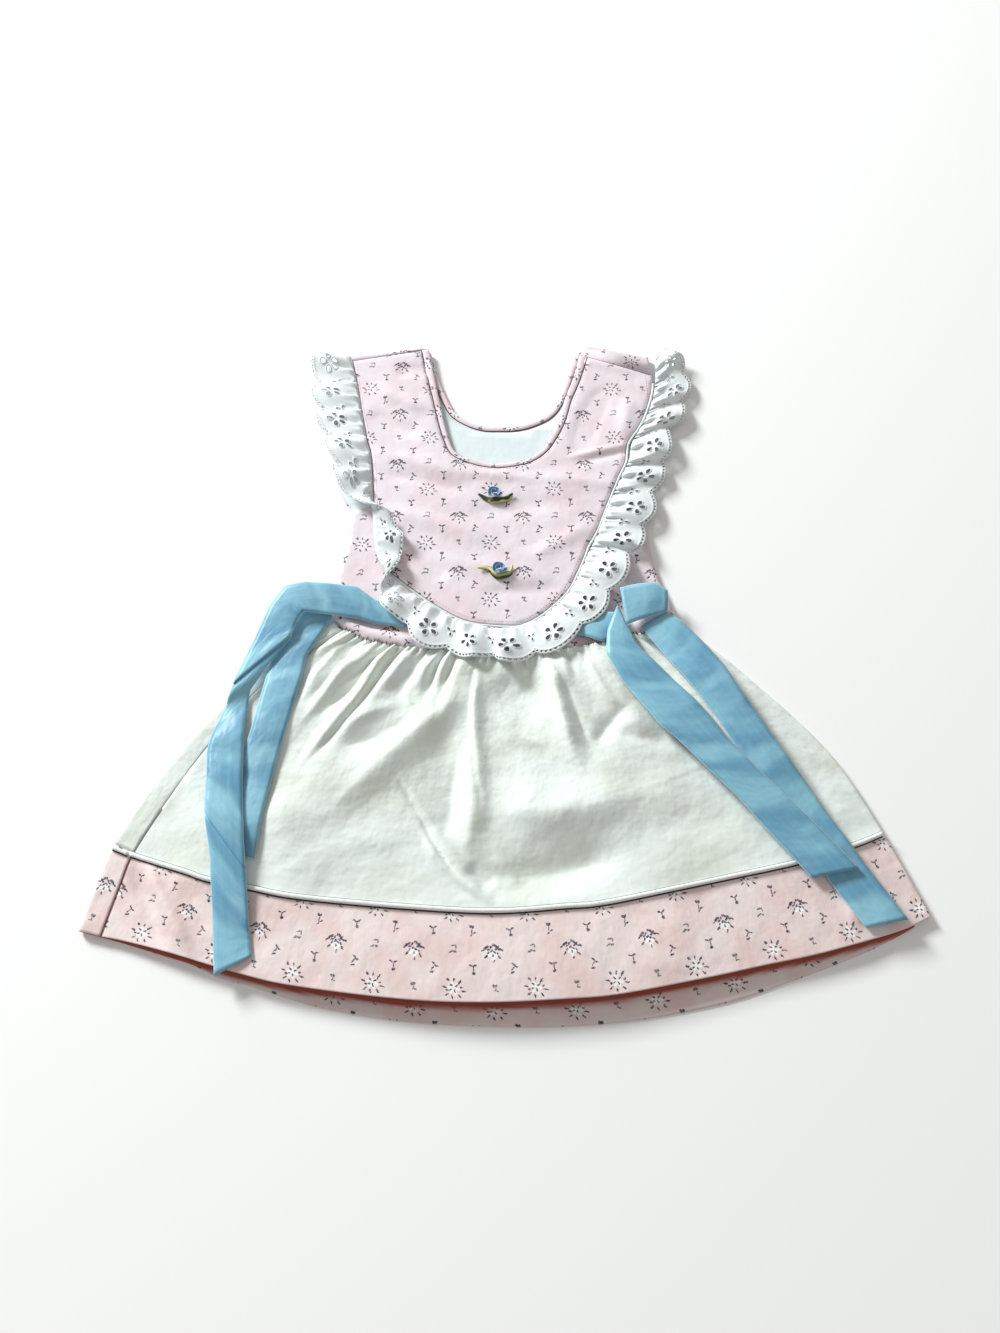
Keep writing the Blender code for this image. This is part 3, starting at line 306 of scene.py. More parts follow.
def top_of(names, x, y, reach=0.0):
    """The highest point of the named pieces at and round a place, or 0 where there is none."""
    highest = 0.0
    around = ((0, 0),) if reach == 0 else ((0, 0), (reach, 0), (-reach, 0), (0, reach), (0, -reach))
    for name in names:
        for dx, dy in around:
            hit = laid[name].ray_cast(Vector((x + dx, y + dy, 200)), Vector((0, 0, -1)))[0]
            if hit is not None:
                highest = max(highest, hit.z)
    return highest


def tube(name, path, radius, sides, material):
    """A round cord along a path, closed at both ends, its UV map along and round it."""
    ahead = np.gradient(path, axis=0)
    ahead /= np.linalg.norm(ahead, axis=1, keepdims=True)
    aside = np.cross(ahead, (0, 0, 1))
    aside /= np.linalg.norm(aside, axis=1, keepdims=True)
    up = np.cross(aside, ahead)
    turns = 2 * math.pi * np.arange(sides) / sides
    rings = path[:, None] + radius * (np.cos(turns)[:, None] * aside[:, None]
                                      + np.sin(turns)[:, None] * up[:, None])
    quads = [(i * sides + k, i * sides + (k + 1) % sides, (i + 1) * sides + (k + 1) % sides,
              (i + 1) * sides + k) for i in range(len(path) - 1) for k in range(sides)]
    last = (len(path) - 1) * sides
    caps = [tuple(range(sides))[::-1], tuple(range(last, last + sides))]
    run = np.concatenate([[0], np.cumsum(np.linalg.norm(np.diff(path, axis=0), axis=1))])
    uv = np.stack(np.broadcast_arrays(run[:, None], turns * radius), axis=-1).reshape(-1, 2)
    piece = add_mesh(name, rings.reshape(-1, 3), quads + caps, uv, material)
    builder = bmesh.new()
    builder.from_mesh(piece.data)
    bmesh.ops.recalc_face_normals(builder, faces=builder.faces)
    builder.to_mesh(piece.data)
    builder.free()
    laid[name] = BVHTree.FromPolygons(rings.reshape(-1, 3).tolist(), quads)
    return piece


print("helpers ready")

# %% [markdown]
# ## Cloth, print and ribbon
#
# Plain cotton shows its threads only close up, and a soft unevenness further away. Both are node groups,
# so that the white and the pink cotton share them. The print is made of two flower heads on a centred
# grid with four small sprigs between them. Each is a handful of dashes, and a dash is an oval: a group
# turns the place into the oval's own frame and asks whether its length is under one. Nothing is an
# image, so the print stays sharp at any size and follows each cut piece through its UV map.

# %% Node helpers
class Nodes:
    """Adds nodes to a tree. A value given for an input is set, and a socket is linked."""

    def __init__(self, tree):
        self.tree = tree

    def add(self, kind, inputs=(), **settings):
        node = self.tree.nodes.new(kind)
        for key, value in settings.items():
            setattr(node, key, value)
        for key, value in inputs.items() if isinstance(inputs, dict) else enumerate(inputs):
            if isinstance(value, bpy.types.NodeSocket):
                self.tree.links.new(value, node.inputs[key])
            elif value is not None:
                node.inputs[key].default_value = value
        return node

    def maths(self, operation, *inputs):
        return self.add("ShaderNodeMath", inputs, operation=operation).outputs[0]

    def vector(self, operation, *inputs):
        node = self.add("ShaderNodeVectorMath", inputs, operation=operation)
        return node.outputs["Value" if operation in ("LENGTH", "DOT_PRODUCT") else "Vector"]

    def ramp(self, value, low, high, start=0.0, end=1.0):
        return self.add("ShaderNodeMapRange", (value, low, high, start, end),
                        interpolation_type="SMOOTHSTEP").outputs[0]

    def mix(self, factor, first, second):
        node = self.add("ShaderNodeMix", {0: factor, 6: first, 7: second}, data_type="RGBA")
        return node.outputs[2]

    def noise(self, place, scale, detail=2.0):
        return self.add("ShaderNodeTexNoise", {"Vector": place, "Scale": scale,
                                               "Detail": detail}).outputs[0]

    def call(self, group, **inputs):
        node = self.add("ShaderNodeGroup", node_tree=group)
        for key, value in inputs.items():
            socket = node.inputs[key.replace("_", " ").capitalize()]
            if isinstance(value, bpy.types.NodeSocket):
                self.tree.links.new(value, socket)
            else:
                socket.default_value = value
        return node.outputs[0]


def node_group(name, inputs, output):
    """An empty group: inputs as name to kind or starting value, and one output."""
    tree = bpy.data.node_groups.new(name, "ShaderNodeTree")
    for label, value in inputs.items():
        kind = "NodeSocketFloat" if isinstance(value, (int, float)) else (
            "NodeSocketColor" if len(value) == 4 else "NodeSocketVector")
        tree.interface.new_socket(label, in_out="INPUT", socket_type=kind).default_value = value
    tree.interface.new_socket(output[0], in_out="OUTPUT", socket_type=output[1])
    nodes = Nodes(tree)
    given = nodes.add("NodeGroupInput").outputs
    return nodes, given, nodes.add("NodeGroupOutput")


# %% The dash, the ray flower and the repeat
n, given, out = node_group("oval dash", {"Place": (0, 0, 0), "Centre": (0, 0, 0), "Size": (1, 1, 1),
                                         "Turn": 0.0}, ("Mask", "NodeSocketFloat"))
local = n.vector("SUBTRACT", given["Place"], given["Centre"])
back_turn = n.maths("MULTIPLY", given["Turn"], -1.0)
turned = n.add("ShaderNodeVectorRotate", {"Vector": local, "Angle": back_turn},
               rotation_type="Z_AXIS").outputs[0]
size = n.vector("LENGTH", n.vector("DIVIDE", turned, given["Size"]))
n.tree.links.new(n.ramp(size, 0.75, 1.2, 1.0, 0.0), out.inputs[0])
OVAL_DASH = n.tree

n, given, out = node_group("ray flower", {"Place": (0, 0, 0), "Rays": 8.0, "Reach": 4.0,
                                          "Size": (1, 1, 1), "Turn": 0.0}, ("Mask", "NodeSocketFloat"))
axes = n.add("ShaderNodeSeparateXYZ", (given["Place"],)).outputs
sector = n.maths("DIVIDE", 2 * math.pi, given["Rays"])
angle = n.maths("ADD", n.maths("ARCTAN2", axes[1], axes[0]), given["Turn"])
angle = n.maths("WRAP", angle, n.maths("MULTIPLY", sector, 0.5), n.maths("MULTIPLY", sector, -0.5))
reach = n.vector("LENGTH", given["Place"])
ray = n.add("ShaderNodeCombineXYZ", (
    n.maths("SUBTRACT", n.maths("MULTIPLY", reach, n.maths("COSINE", angle)), given["Reach"]),
    n.maths("MULTIPLY", reach, n.maths("SINE", angle)), 0.0)).outputs[0]
n.tree.links.new(n.ramp(n.vector("LENGTH", n.vector("DIVIDE", ray, given["Size"])), 0.75, 1.2, 1.0, 0.0),
                 out.inputs[0])
RAY_FLOWER = n.tree

n, given, out = node_group("repeat", {"Place": (0, 0, 0), "Cell": (47, 46, 1), "Offset": (0, 0, 0)},
                           ("Place", "NodeSocketVector"))
shifted = n.vector("SUBTRACT", given["Place"], n.vector("MULTIPLY", given["Cell"], given["Offset"]))
wrapped = n.vector("WRAP", shifted, n.vector("MULTIPLY", given["Cell"], (0.5, 0.5, 0.5)),
                   n.vector("MULTIPLY", given["Cell"], (-0.5, -0.5, -0.5)))
n.tree.links.new(n.vector("MULTIPLY", wrapped, (1, 1, 0)), out.inputs[0])
REPEAT = n.tree

# %% The sprig print
# Dashes of each small sprig: x, y, half length, half width in millimetres, turn in degrees
TULIP = ((-0.6, 2.6, 1.0, 0.75, -55), (0.6, 2.5, 1.0, 0.7, 50), (-0.1, -0.3, 1.9, 0.3, 80),
         (1.3, -1.6, 1.1, 0.4, 20), (-0.6, -3.0, 0.9, 0.35, 50))
SPROUT = ((-1.5, 1.0, 1.2, 0.5, -25), (1.2, 1.3, 1.2, 0.45, 35), (-0.1, -0.3, 1.3, 0.32, 85),
          (0.1, -2.6, 0.95, 0.85, 0))
BUD = ((0.2, 2.5, 1.3, 0.5, -45), (1.9, 1.0, 1.0, 0.4, -10), (-0.4, 0.1, 1.7, 0.33, 50),
       (-0.8, -2.3, 1.3, 0.5, 15))
SHOOT = ((-1.5, 1.9, 1.3, 0.45, -30), (0.9, 2.0, 1.2, 0.45, 20), (0.1, 0.0, 1.6, 0.3, 85),
         (0.1, -2.5, 1.0, 0.8, 20))
HOOK = ((0.3, 2.1, 1.6, 0.4, 8), (1.8, 1.2, 0.4, 0.9, 0), (-1.2, -1.4, 1.6, 0.45, 25),
        (1.2, -1.4, 0.9, 0.6, 0))
HEART = ((-0.6, 1.5, 0.9, 0.7, -50), (0.7, 1.6, 0.9, 0.7, 45), (0.3, -0.7, 1.1, 0.32, 70),
         (1.3, -1.4, 0.9, 0.35, -15))
CROWN = ((-6.0, -0.4, 0.9, 0.4, 30), (-4.7, 0.7, 1.1, 0.6, 50), (-3.3, 1.7, 1.3, 0.7, 25),
         (-2.5, 0.1, 1.0, 0.5, 10), (-1.1, 1.5, 0.9, 0.5, 60), (0.4, 2.9, 0.9, 0.4, 80),
         (1.9, 2.3, 1.2, 0.6, -50), (3.1, 1.4, 1.2, 0.6, 40), (4.1, 0.3, 1.0, 0.5, -30),
         (5.7, 0.0, 1.1, 0.45, -35),
         (2.1, 0.2, 0.9, 0.5, 20), (-4.2, -4.0, 1.3, 0.5, 40), (4.0, -4.4, 1.3, 0.5, -52),
         (0.6, -6.6, 1.0, 0.4, 80), (-0.6, -0.6, 1.0, 0.6, 40), (1.2, -1.4, 1.0, 0.5, -35),
         (-2.6, -1.8, 0.9, 0.45, 65), (0.1, -3.4, 0.9, 0.45, 85), (3.0, -2.2, 0.8, 0.4, -70))
STAR = ((-3.4, 4.9, 1.0, 0.6, -50), (3.6, 3.6, 1.7, 0.5, 50), (0.2, 4.9, 1.0, 0.4, 80),
        (-5.6, 0.8, 1.3, 0.5, -15), (-3.9, -1.0, 0.9, 0.45, -10), (5.8, -1.6, 1.5, 0.42, -8),
        (4.4, 0.5, 0.8, 0.45, 30),
        (-4.2, -3.6, 1.3, 0.4, 35), (-1.0, -5.0, 1.1, 0.45, -75), (3.4, -4.4, 1.2, 0.45, -50),
        (-1.4, 1.8, 1.0, 0.45, -45), (1.6, 1.4, 1.0, 0.45, 35), (0.4, -1.4, 1.0, 0.4, -70),
        (-1.9, -0.6, 0.8, 0.4, 15))

n, given, out = node_group("sprig print", {
    "Place": (0, 0, 0), "Cell": (47, 46, 1), "Ground": (1, 1, 1, 1), "Ink": (0, 0, 0, 1),
    "Pale ink": (0, 0, 0, 1), "Petal": (1, 1, 1, 1)}, ("Color", "NodeSocketColor"))
wobble = n.add("ShaderNodeTexNoise", {"Vector": given["Place"], "Scale": 0.9, "Detail": 2.0}).outputs[1]
place = n.vector("ADD", given["Place"], n.vector("SUBTRACT", n.vector("MULTIPLY", wobble, (1.5, 1.5, 0)),
                                                 (0.75, 0.75, 0)))


def motif(offset, dashes):
    """The place inside the motif's own cell, and its dashes as one mask."""
    local = n.call(REPEAT, place=place, cell=given["Cell"], offset=(*offset, 0))
    masks = [n.call(OVAL_DASH, place=local, centre=(x, y, 0), size=(1.12 * length, 1.25 * width, 1),
                    turn=math.radians(turn))
             for x, y, length, width, turn in dashes]
    found = masks[0]
    for mask in masks[1:]:
        found = n.maths("MAXIMUM", found, mask)
    return local, found


ink = None
for offset, dashes in (((-0.25, 0.25), TULIP), ((0.25, 0.25), SPROUT), ((0.25, -0.25), BUD),
                       ((-0.25, -0.25), SHOOT)):
    mask = motif(offset, dashes)[1]
    ink = mask if ink is None else n.maths("MAXIMUM", ink, mask)
pale = n.maths("MAXIMUM", motif((0.5, 0.0), HOOK)[1], motif((0.0, 0.5), HEART)[1])
crown, crown_ink = motif((0, 0), CROWN)
star, star_ink = motif((0.5, 0.5), STAR)
crown_petals = n.call(RAY_FLOWER, place=n.vector("SUBTRACT", crown, (0.2, -2.6, 0)), rays=5.0, reach=1.9,
                      size=(1.8, 1.0, 1), turn=0.3)
star_petals = n.call(RAY_FLOWER, place=star, rays=6.0, reach=1.9, size=(1.9, 0.9, 1), turn=0.2)
heads = n.maths("MAXIMUM", crown_ink, star_ink)
petals = n.maths("MULTIPLY", n.maths("MAXIMUM", crown_petals, star_petals), 0.9)
patchy = n.ramp(n.noise(given["Place"], 1.1), 0.3, 0.6, 0.6, 1.0)
colour = n.mix(petals, given["Ground"], given["Petal"])
colour = n.mix(n.maths("MULTIPLY", pale, patchy), colour, given["Pale ink"])
colour = n.mix(n.maths("MULTIPLY", n.maths("MAXIMUM", ink, heads), patchy), colour, given["Ink"])
n.tree.links.new(colour, out.inputs[0])
SPRIG_PRINT = n.tree
print("print group:", len(SPRIG_PRINT.nodes), "nodes")

# %% The weave and the soft crumple
n, given, out = node_group("plain weave", {"Place": (0, 0, 0), "Threads per mm": 2.2},
                           ("Height", "NodeSocketFloat"))
axes = n.add("ShaderNodeSeparateXYZ", (given["Place"],)).outputs
turns = n.maths("MULTIPLY", given["Threads per mm"], math.pi)
weave = n.maths("MULTIPLY", n.maths("SINE", n.maths("MULTIPLY", axes[0], turns)),
                n.maths("SINE", n.maths("MULTIPLY", axes[1], turns)))
n.tree.links.new(weave, out.inputs[0])
PLAIN_WEAVE = n.tree

n, given, out = node_group("soft crumple", {"Place": (0, 0, 0), "Amount": 1.0},
                           ("Height", "NodeSocketFloat"))
broad = n.noise(given["Place"], 0.035, 3.0)
fine = n.noise(n.vector("MULTIPLY", given["Place"], (1.0, 0.6, 1.0)), 0.12, 4.0)
crumple = n.maths("ADD", n.maths("MULTIPLY", broad, 3.0), n.maths("MULTIPLY", fine, 0.9))
n.tree.links.new(n.maths("MULTIPLY", crumple, given["Amount"]), out.inputs[0])
SOFT_CRUMPLE = n.tree


def cloth_material(name, roughness, crumple=1.0, sheen=0.1, threads=2.2, thread_height=0.04):
    """A material with the weave and the crumple as bumps; returns it, its nodes and the place in mm."""
    material = bpy.data.materials.new(name)
    material.use_nodes = True
    nodes = Nodes(material.node_tree)
    shader = material.node_tree.nodes["Principled BSDF"]
    shader.inputs["Roughness"].default_value = roughness
    shader.inputs["Sheen Weight"].default_value = sheen
    shader.inputs["Sheen Roughness"].default_value = 0.5
    shader.inputs["Specular IOR Level"].default_value = 0.2
    flat = nodes.add("ShaderNodeUVMap", uv_map="cloth").outputs[0]
    place = nodes.vector("MULTIPLY", flat, (1000, 1000, 0))
    crumpled = nodes.call(SOFT_CRUMPLE, place=place, amount=crumple)
    woven = nodes.call(PLAIN_WEAVE, place=place, threads_per_mm=threads)
    height = nodes.maths("ADD", crumpled, nodes.maths("MULTIPLY", woven, thread_height))
    bump = nodes.add("ShaderNodeBump", {"Strength": 1.0, "Distance": 0.001, "Height": height})
    material.node_tree.links.new(bump.outputs[0], shader.inputs["Normal"])
    return material, nodes, shader, place


def shaded(nodes, colour, shade_colour):
    """The colour, with shade painted in where the mesh's shade attribute is set."""
    amount = nodes.add("ShaderNodeAttribute", attribute_name="shade").outputs["Fac"]
    return nodes.mix(amount, colour, shade_colour)


# hollow is the dark colour of the painted shade that the shade attribute puts round the lace's holes.
def plain_cotton(name, colour, shade, crumple=1.0, hollow=(0.12, 0.12, 0.11, 1)):
    material, nodes, shader, place = cloth_material(name, 0.9, crumple)
    uneven = nodes.ramp(nodes.noise(place, 0.02, 4.0), 0.35, 0.7)
    material.node_tree.links.new(shaded(nodes, nodes.mix(uneven, colour, shade), hollow),
                                 shader.inputs["Base Color"])
    return material


def printed_cotton(name, ground, shade, ink, pale_ink, petal, cell, shift, crumple):
    material, nodes, shader, place = cloth_material(name, 0.9, crumple)
    laid_out = nodes.add("ShaderNodeMapping", {"Vector": place, "Location": (*shift, 0)}).outputs[0]
    uneven = nodes.ramp(nodes.noise(place, 0.03, 4.0), 0.4, 0.65)
    colour = nodes.call(SPRIG_PRINT, place=laid_out, cell=(*cell, 1),
                        ground=nodes.mix(uneven, ground, shade),
                        ink=ink, pale_ink=pale_ink, petal=petal)
    # srgb(176, 92, 78) is a reddish painted shadow, laid where the shade attribute is set.
    material.node_tree.links.new(shaded(nodes, colour, srgb(176, 92, 78)), shader.inputs["Base Color"])
    return material


WHITE_COTTON = plain_cotton("white_cotton", srgb(232, 239, 236), srgb(224, 230, 221))
WHITE_LINING = plain_cotton("white_lining", srgb(228, 238, 240), srgb(220, 232, 235), 0.4)
BIB_PRINT = printed_cotton("bib_print", srgb(236, 226, 232), srgb(234, 216, 222), srgb(46, 42, 64),
                           srgb(92, 98, 102), srgb(247, 236, 240), (47.3, 46.2), (-13.0, -94.0), 0.5)
BAND_PRINT = printed_cotton("band_print", srgb(237, 222, 220), srgb(232, 207, 204), srgb(46, 48, 76),
                            srgb(92, 102, 106), srgb(252, 250, 248), (48.5, 45.0), (0, 24.5), 0.7)
print("cottons ready")

# %% [markdown]
# Lace, satin and cord need little more than a colour and a surface. Satin's long floats run with the
# ribbon, so its shine is stretched across it: the shader's own anisotropy does that.

# %% Lace, satin, cord and thread
WHITE_LACE = plain_cotton("white_lace", srgb(238, 243, 244), srgb(228, 236, 236), 0.25)


def satin(name, colour, shade, sheen_and_edge_colour, edge_at=11.6, roughness=0.42):
    """Woven ribbon: painted streaks of sheen along it, a soft mottle and a pale selvedge at both edges."""
    material, nodes, shader, place = cloth_material(name, roughness, 0.5, 0.1, 3.0, 0.008)
    shader.inputs["Specular IOR Level"].default_value = 0.4
    shader.inputs["Anisotropic"].default_value = 0.5
    spots = nodes.noise(nodes.vector("MULTIPLY", place, (0.5, 1.0, 1.0)), 0.035, 3.0)
    mottle = nodes.ramp(spots, 0.35, 0.62)
    # Pale streaks along the ribbon are painted sheen.
    painted_sheen_noise = nodes.noise(nodes.vector("MULTIPLY", place, (0.9, 0.03, 1.0)), 0.5, 3.0)
    painted_sheen_streaks = nodes.ramp(painted_sheen_noise, 0.3, 0.9, 0, 0.16)
    axes = nodes.add("ShaderNodeSeparateXYZ", (place,)).outputs
    edge = nodes.ramp(nodes.maths("ABSOLUTE", axes[0]), edge_at, edge_at + 0.7, 0.0, 0.75)
    blend = nodes.mix(painted_sheen_streaks, nodes.mix(mottle, colour, shade), sheen_and_edge_colour)
    material.node_tree.links.new(nodes.mix(edge, blend, sheen_and_edge_colour), shader.inputs["Base Color"])
    return material


def thread(name, colour):
    material, nodes, shader, place = cloth_material(name, 0.8, 0.0, 0.3, 1.6, 0.12)
    fuzz = nodes.ramp(nodes.noise(place, 0.8), 0.3, 0.7)
    dark = tuple(0.86 * value for value in colour[:3]) + (1.0,)
    material.node_tree.links.new(nodes.mix(fuzz, colour, dark), shader.inputs["Base Color"])
    return material


BLUE_SATIN = satin("blue_satin", srgb(140, 194, 214), srgb(98, 154, 184), srgb(180, 216, 228))
# On the rose the pale colour shows only along the top edge of each turn of the bud: a painted highlight.
ROSE_SATIN = satin("rose_satin", srgb(126, 172, 202), srgb(92, 138, 178), srgb(168, 204, 222), 2.0, 0.6)
LEAF_SATIN = satin("leaf_satin", srgb(58, 68, 38), srgb(40, 50, 28), srgb(196, 198, 128), 1.5)
PALE_SATIN = satin("pale_satin", srgb(214, 210, 140), srgb(196, 194, 118), srgb(84, 92, 50), 0.7)
WHITE_CORD = thread("white_cord", srgb(248, 249, 246))
# The grey below colours real stitches and also grey tubes of painted shade in seam ditches; SEAM_SHADOW and
# ROSE_SHADOW colour dark tubes of painted shade in seam ditches.
GREY_THREAD_AND_DITCH_SHADE = thread("grey_thread_and_ditch_shade", srgb(142, 148, 156))
SEAM_SHADOW = thread("seam_shadow", srgb(72, 52, 62))
ROSE_SHADOW = thread("rose_shadow", srgb(128, 70, 74))
PINK_THREAD = thread("pink_thread", srgb(214, 176, 184))
# This dark colour is painted shade for the gather ticks at the waist.
GATHER_SHADE = thread("gather_shade", srgb(84, 76, 66))
print("materials:", len(bpy.data.materials))

# %% [markdown]
# ## Stitches
#
# A machine seam is a row of equal short stitches. One Geometry Nodes group sets a small rounded stitch
# at an even pitch along a path and turns it in line with the seam or across it. Each row is turned into
# a plain mesh at once, so no live modifier is left.

# %% Stitches, one node group for every row
STITCH_ROW = bpy.data.node_groups.new("stitch row", "GeometryNodeTree")
stitch_socket = {}
STITCH_ROW.interface.new_socket("Path", in_out="INPUT", socket_type="NodeSocketGeometry")
for label, kind in (("Pitch", "Float"), ("Half length", "Float"), ("Radius", "Float"), ("Turn", "Float"),
                    ("Thread", "Material")):
    made = STITCH_ROW.interface.new_socket(label, in_out="INPUT", socket_type=f"NodeSocket{kind}")
    stitch_socket[label] = made.identifier
STITCH_ROW.interface.new_socket("Stitches", in_out="OUTPUT", socket_type="NodeSocketGeometry")
g = Nodes(STITCH_ROW)
given = g.add("NodeGroupInput").outputs
along = g.add("GeometryNodeCurveToPoints", {"Curve": given["Path"], "Length": given["Pitch"]},
              mode="LENGTH")
ball = g.add("GeometryNodeMeshUVSphere", {"Segments": 6, "Rings": 5, "Radius": 1.0})
shape = g.add("ShaderNodeCombineXYZ", (given["Radius"], given["Radius"], given["Half length"]))
stitch = g.add("GeometryNodeTransform", {"Geometry": ball.outputs["Mesh"], "Scale": shape.outputs[0]})
uneven = g.add("FunctionNodeRandomValue", {"Min": (0.85, 0.85, 0.75), "Max": (1.1, 1.1, 1.15), "Seed": 7},
               data_type="FLOAT_VECTOR")
placed = g.add("GeometryNodeInstanceOnPoints", {
    "Points": along.outputs["Points"], "Instance": stitch.outputs[0], "Rotation": along.outputs["Rotation"],
    "Scale": uneven.outputs[0]})
turn = g.add("ShaderNodeCombineXYZ", (0.0, given["Turn"], 0.0))
turned = g.add("GeometryNodeRotateInstances", {"Instances": placed.outputs[0], "Rotation": turn.outputs[0]})
real = g.add("GeometryNodeRealizeInstances", (turned.outputs[0],))
sewn = g.add("GeometryNodeSetMaterial", {"Geometry": real.outputs[0], "Material": given["Thread"]})
finish = g.add("NodeGroupOutput")
STITCH_ROW.links.new(sewn.outputs[0], finish.inputs[0])


def stitches(name, path, pitch, half_length, radius, thread, turn=0.0):
    """A row of stitches along a path, turned out of its line by an angle."""
    path = path[path[:, 2] > 1.0]
    curve = bpy.data.curves.new(name, "CURVE")
    curve.dimensions = "3D"
    spline = curve.splines.new("POLY")
    spline.points.add(len(path) - 1)
    placed = (path - (0, CENTRE_Y, 0)) * MM
    spline.points.foreach_set("co", np.column_stack([placed, np.ones(len(path))]).ravel())
    guide = bpy.data.objects.new(name + "_guide", curve)
    bpy.context.scene.collection.objects.link(guide)
    modifier = guide.modifiers.new("stitches", "NODES")
    modifier.node_group = STITCH_ROW
    for label, value in (("Pitch", pitch * MM), ("Half length", half_length * MM), ("Radius", radius * MM),
                         ("Turn", turn), ("Thread", thread)):
        modifier[stitch_socket[label]] = value
    graph = bpy.context.evaluated_depsgraph_get()
    piece = bpy.data.objects.new(name, bpy.data.meshes.new_from_object(guide.evaluated_get(graph)))
    bpy.context.scene.collection.objects.link(piece)
    bpy.data.objects.remove(guide)
    pieces[name] = piece
    print(f"{name}: {len(piece.data.polygons)} faces")
    return piece

# %% [markdown]
# ## The skirt
#
# The white skirt is gathered into the waist seam. Its gathers start as small upright pleats and open
# into broad soft folds, the largest of which run down from the bib's point. The folds are drawn as a
# table of ridges and hollows: where each begins and ends, how high it stands and how wide it is.
# The skirt and the hem band share one side fold, where the cloth turns round and ends at a side seam.

# %% Skirt outlines and folds
WAIST_FRONT = ((-121, 9), (-112, 1), (-96, -7), (-74, -12), (-53, -14), (-25, -16), (0, -17),
               (28, -15), (52, -12), (67, -9), (95, -1), (120, 9))
WAIST_BACK = ((-121, 8), (-60, 6), (0, 5), (60, 6), (120, 8))
SKIRT_LEFT = ((-121, 8), (-152, -12), (-178, -37), (-200, -63), (-218, -86), (-237, -117), (-255, -153),
              (-261, -176), (-268, -206))
SKIRT_RIGHT = ((120, 8), (150, -16), (176, -42), (199, -66), (219, -91), (234, -118), (246, -144),
               (257, -170), (268, -197))
FRONT_SEAM = ((-242, -158), (-230, -162), (-204, -170), (-189, -175), (-163, -180), (-131, -186),
              (-66, -192), (-9, -195), (37, -192), (60, -190), (101, -182), (144, -173), (186, -164),
              (223, -153), (246, -144))
FRONT_HEM = ((-255, -209), (-239, -212), (-210, -219), (-167, -231), (-131, -239), (-64, -247),
             (-14, -249), (36, -247), (70, -244), (125, -234), (159, -227), (194, -220), (243, -207),
             (268, -197))
BACK_SEAM = ((-255, -153), (-204, -175), (-163, -188), (-105, -200), (-50, -206), (0, -208),
             (50, -205), (101, -195), (144, -185), (186, -173), (223, -159), (246, -144))
BACK_HEM = ((-268, -206), (-240, -213), (-212, -221), (-195, -226), (-177, -234), (-157, -239),
            (-114, -251), (-63, -259), (-14, -262), (36, -262), (83, -258), (137, -248), (178, -235),
            (207, -225), (235, -214), (257, -203), (268, -197))
BAND_START = 0.787
SEAM_STRIP = 13.0

# Soft folds: start x, y, end x, y, height, half width at each end
SKIRT_FOLDS = (
    (-26, -45, -135, -138, 5.0, 9, 20),
    (-24, -30, -19, -150, 4.5, 6, 8),
    (-40, -60, -42, -150, -2.5, 9, 12),
    (31, -20, 48, -96, 4.5, 7, 11),
    (15, -22, 18, -60, -2.5, 8, 12),
    (60, -14, 96, -84, 4.0, 8, 14),
    (-74, -104, -13, -188, 2.0, 4, 4),
    (-95, -16, -138, -62, -2.0, 6, 8),
    (-66, -18, -108, -60, -2.0, 6, 9),
    (-108, -22, -180, -96, 3.0, 7, 14),
    (-84, -30, -150, -150, 3.0, 8, 16),
    (108, -20, 168, -120, 3.0, 8, 16),
    (120, -40, 206, -150, 2.5, 8, 14),
    (-160, -120, -120, -176, 2.5, 14, 16),
    (84, -120, 120, -178, 2.0, 18, 20),
    (96, -196, 104, -232, 1.2, 14, 16),
)
# Folds that start right at the side seam
SIDE_FOLDS = (
    (-229, -166, -196, -216, 2.8, 3.5, 4.5),
    (-238, -170, -214, -214, -1.8, 4, 5),
    (-206, -176, -186, -206, -1.0, 5, 5),
    (-214, -100, -170, -170, 1.2, 7, 9),
    (228, -160, 214, -206, 1.4, 6, 6),
)
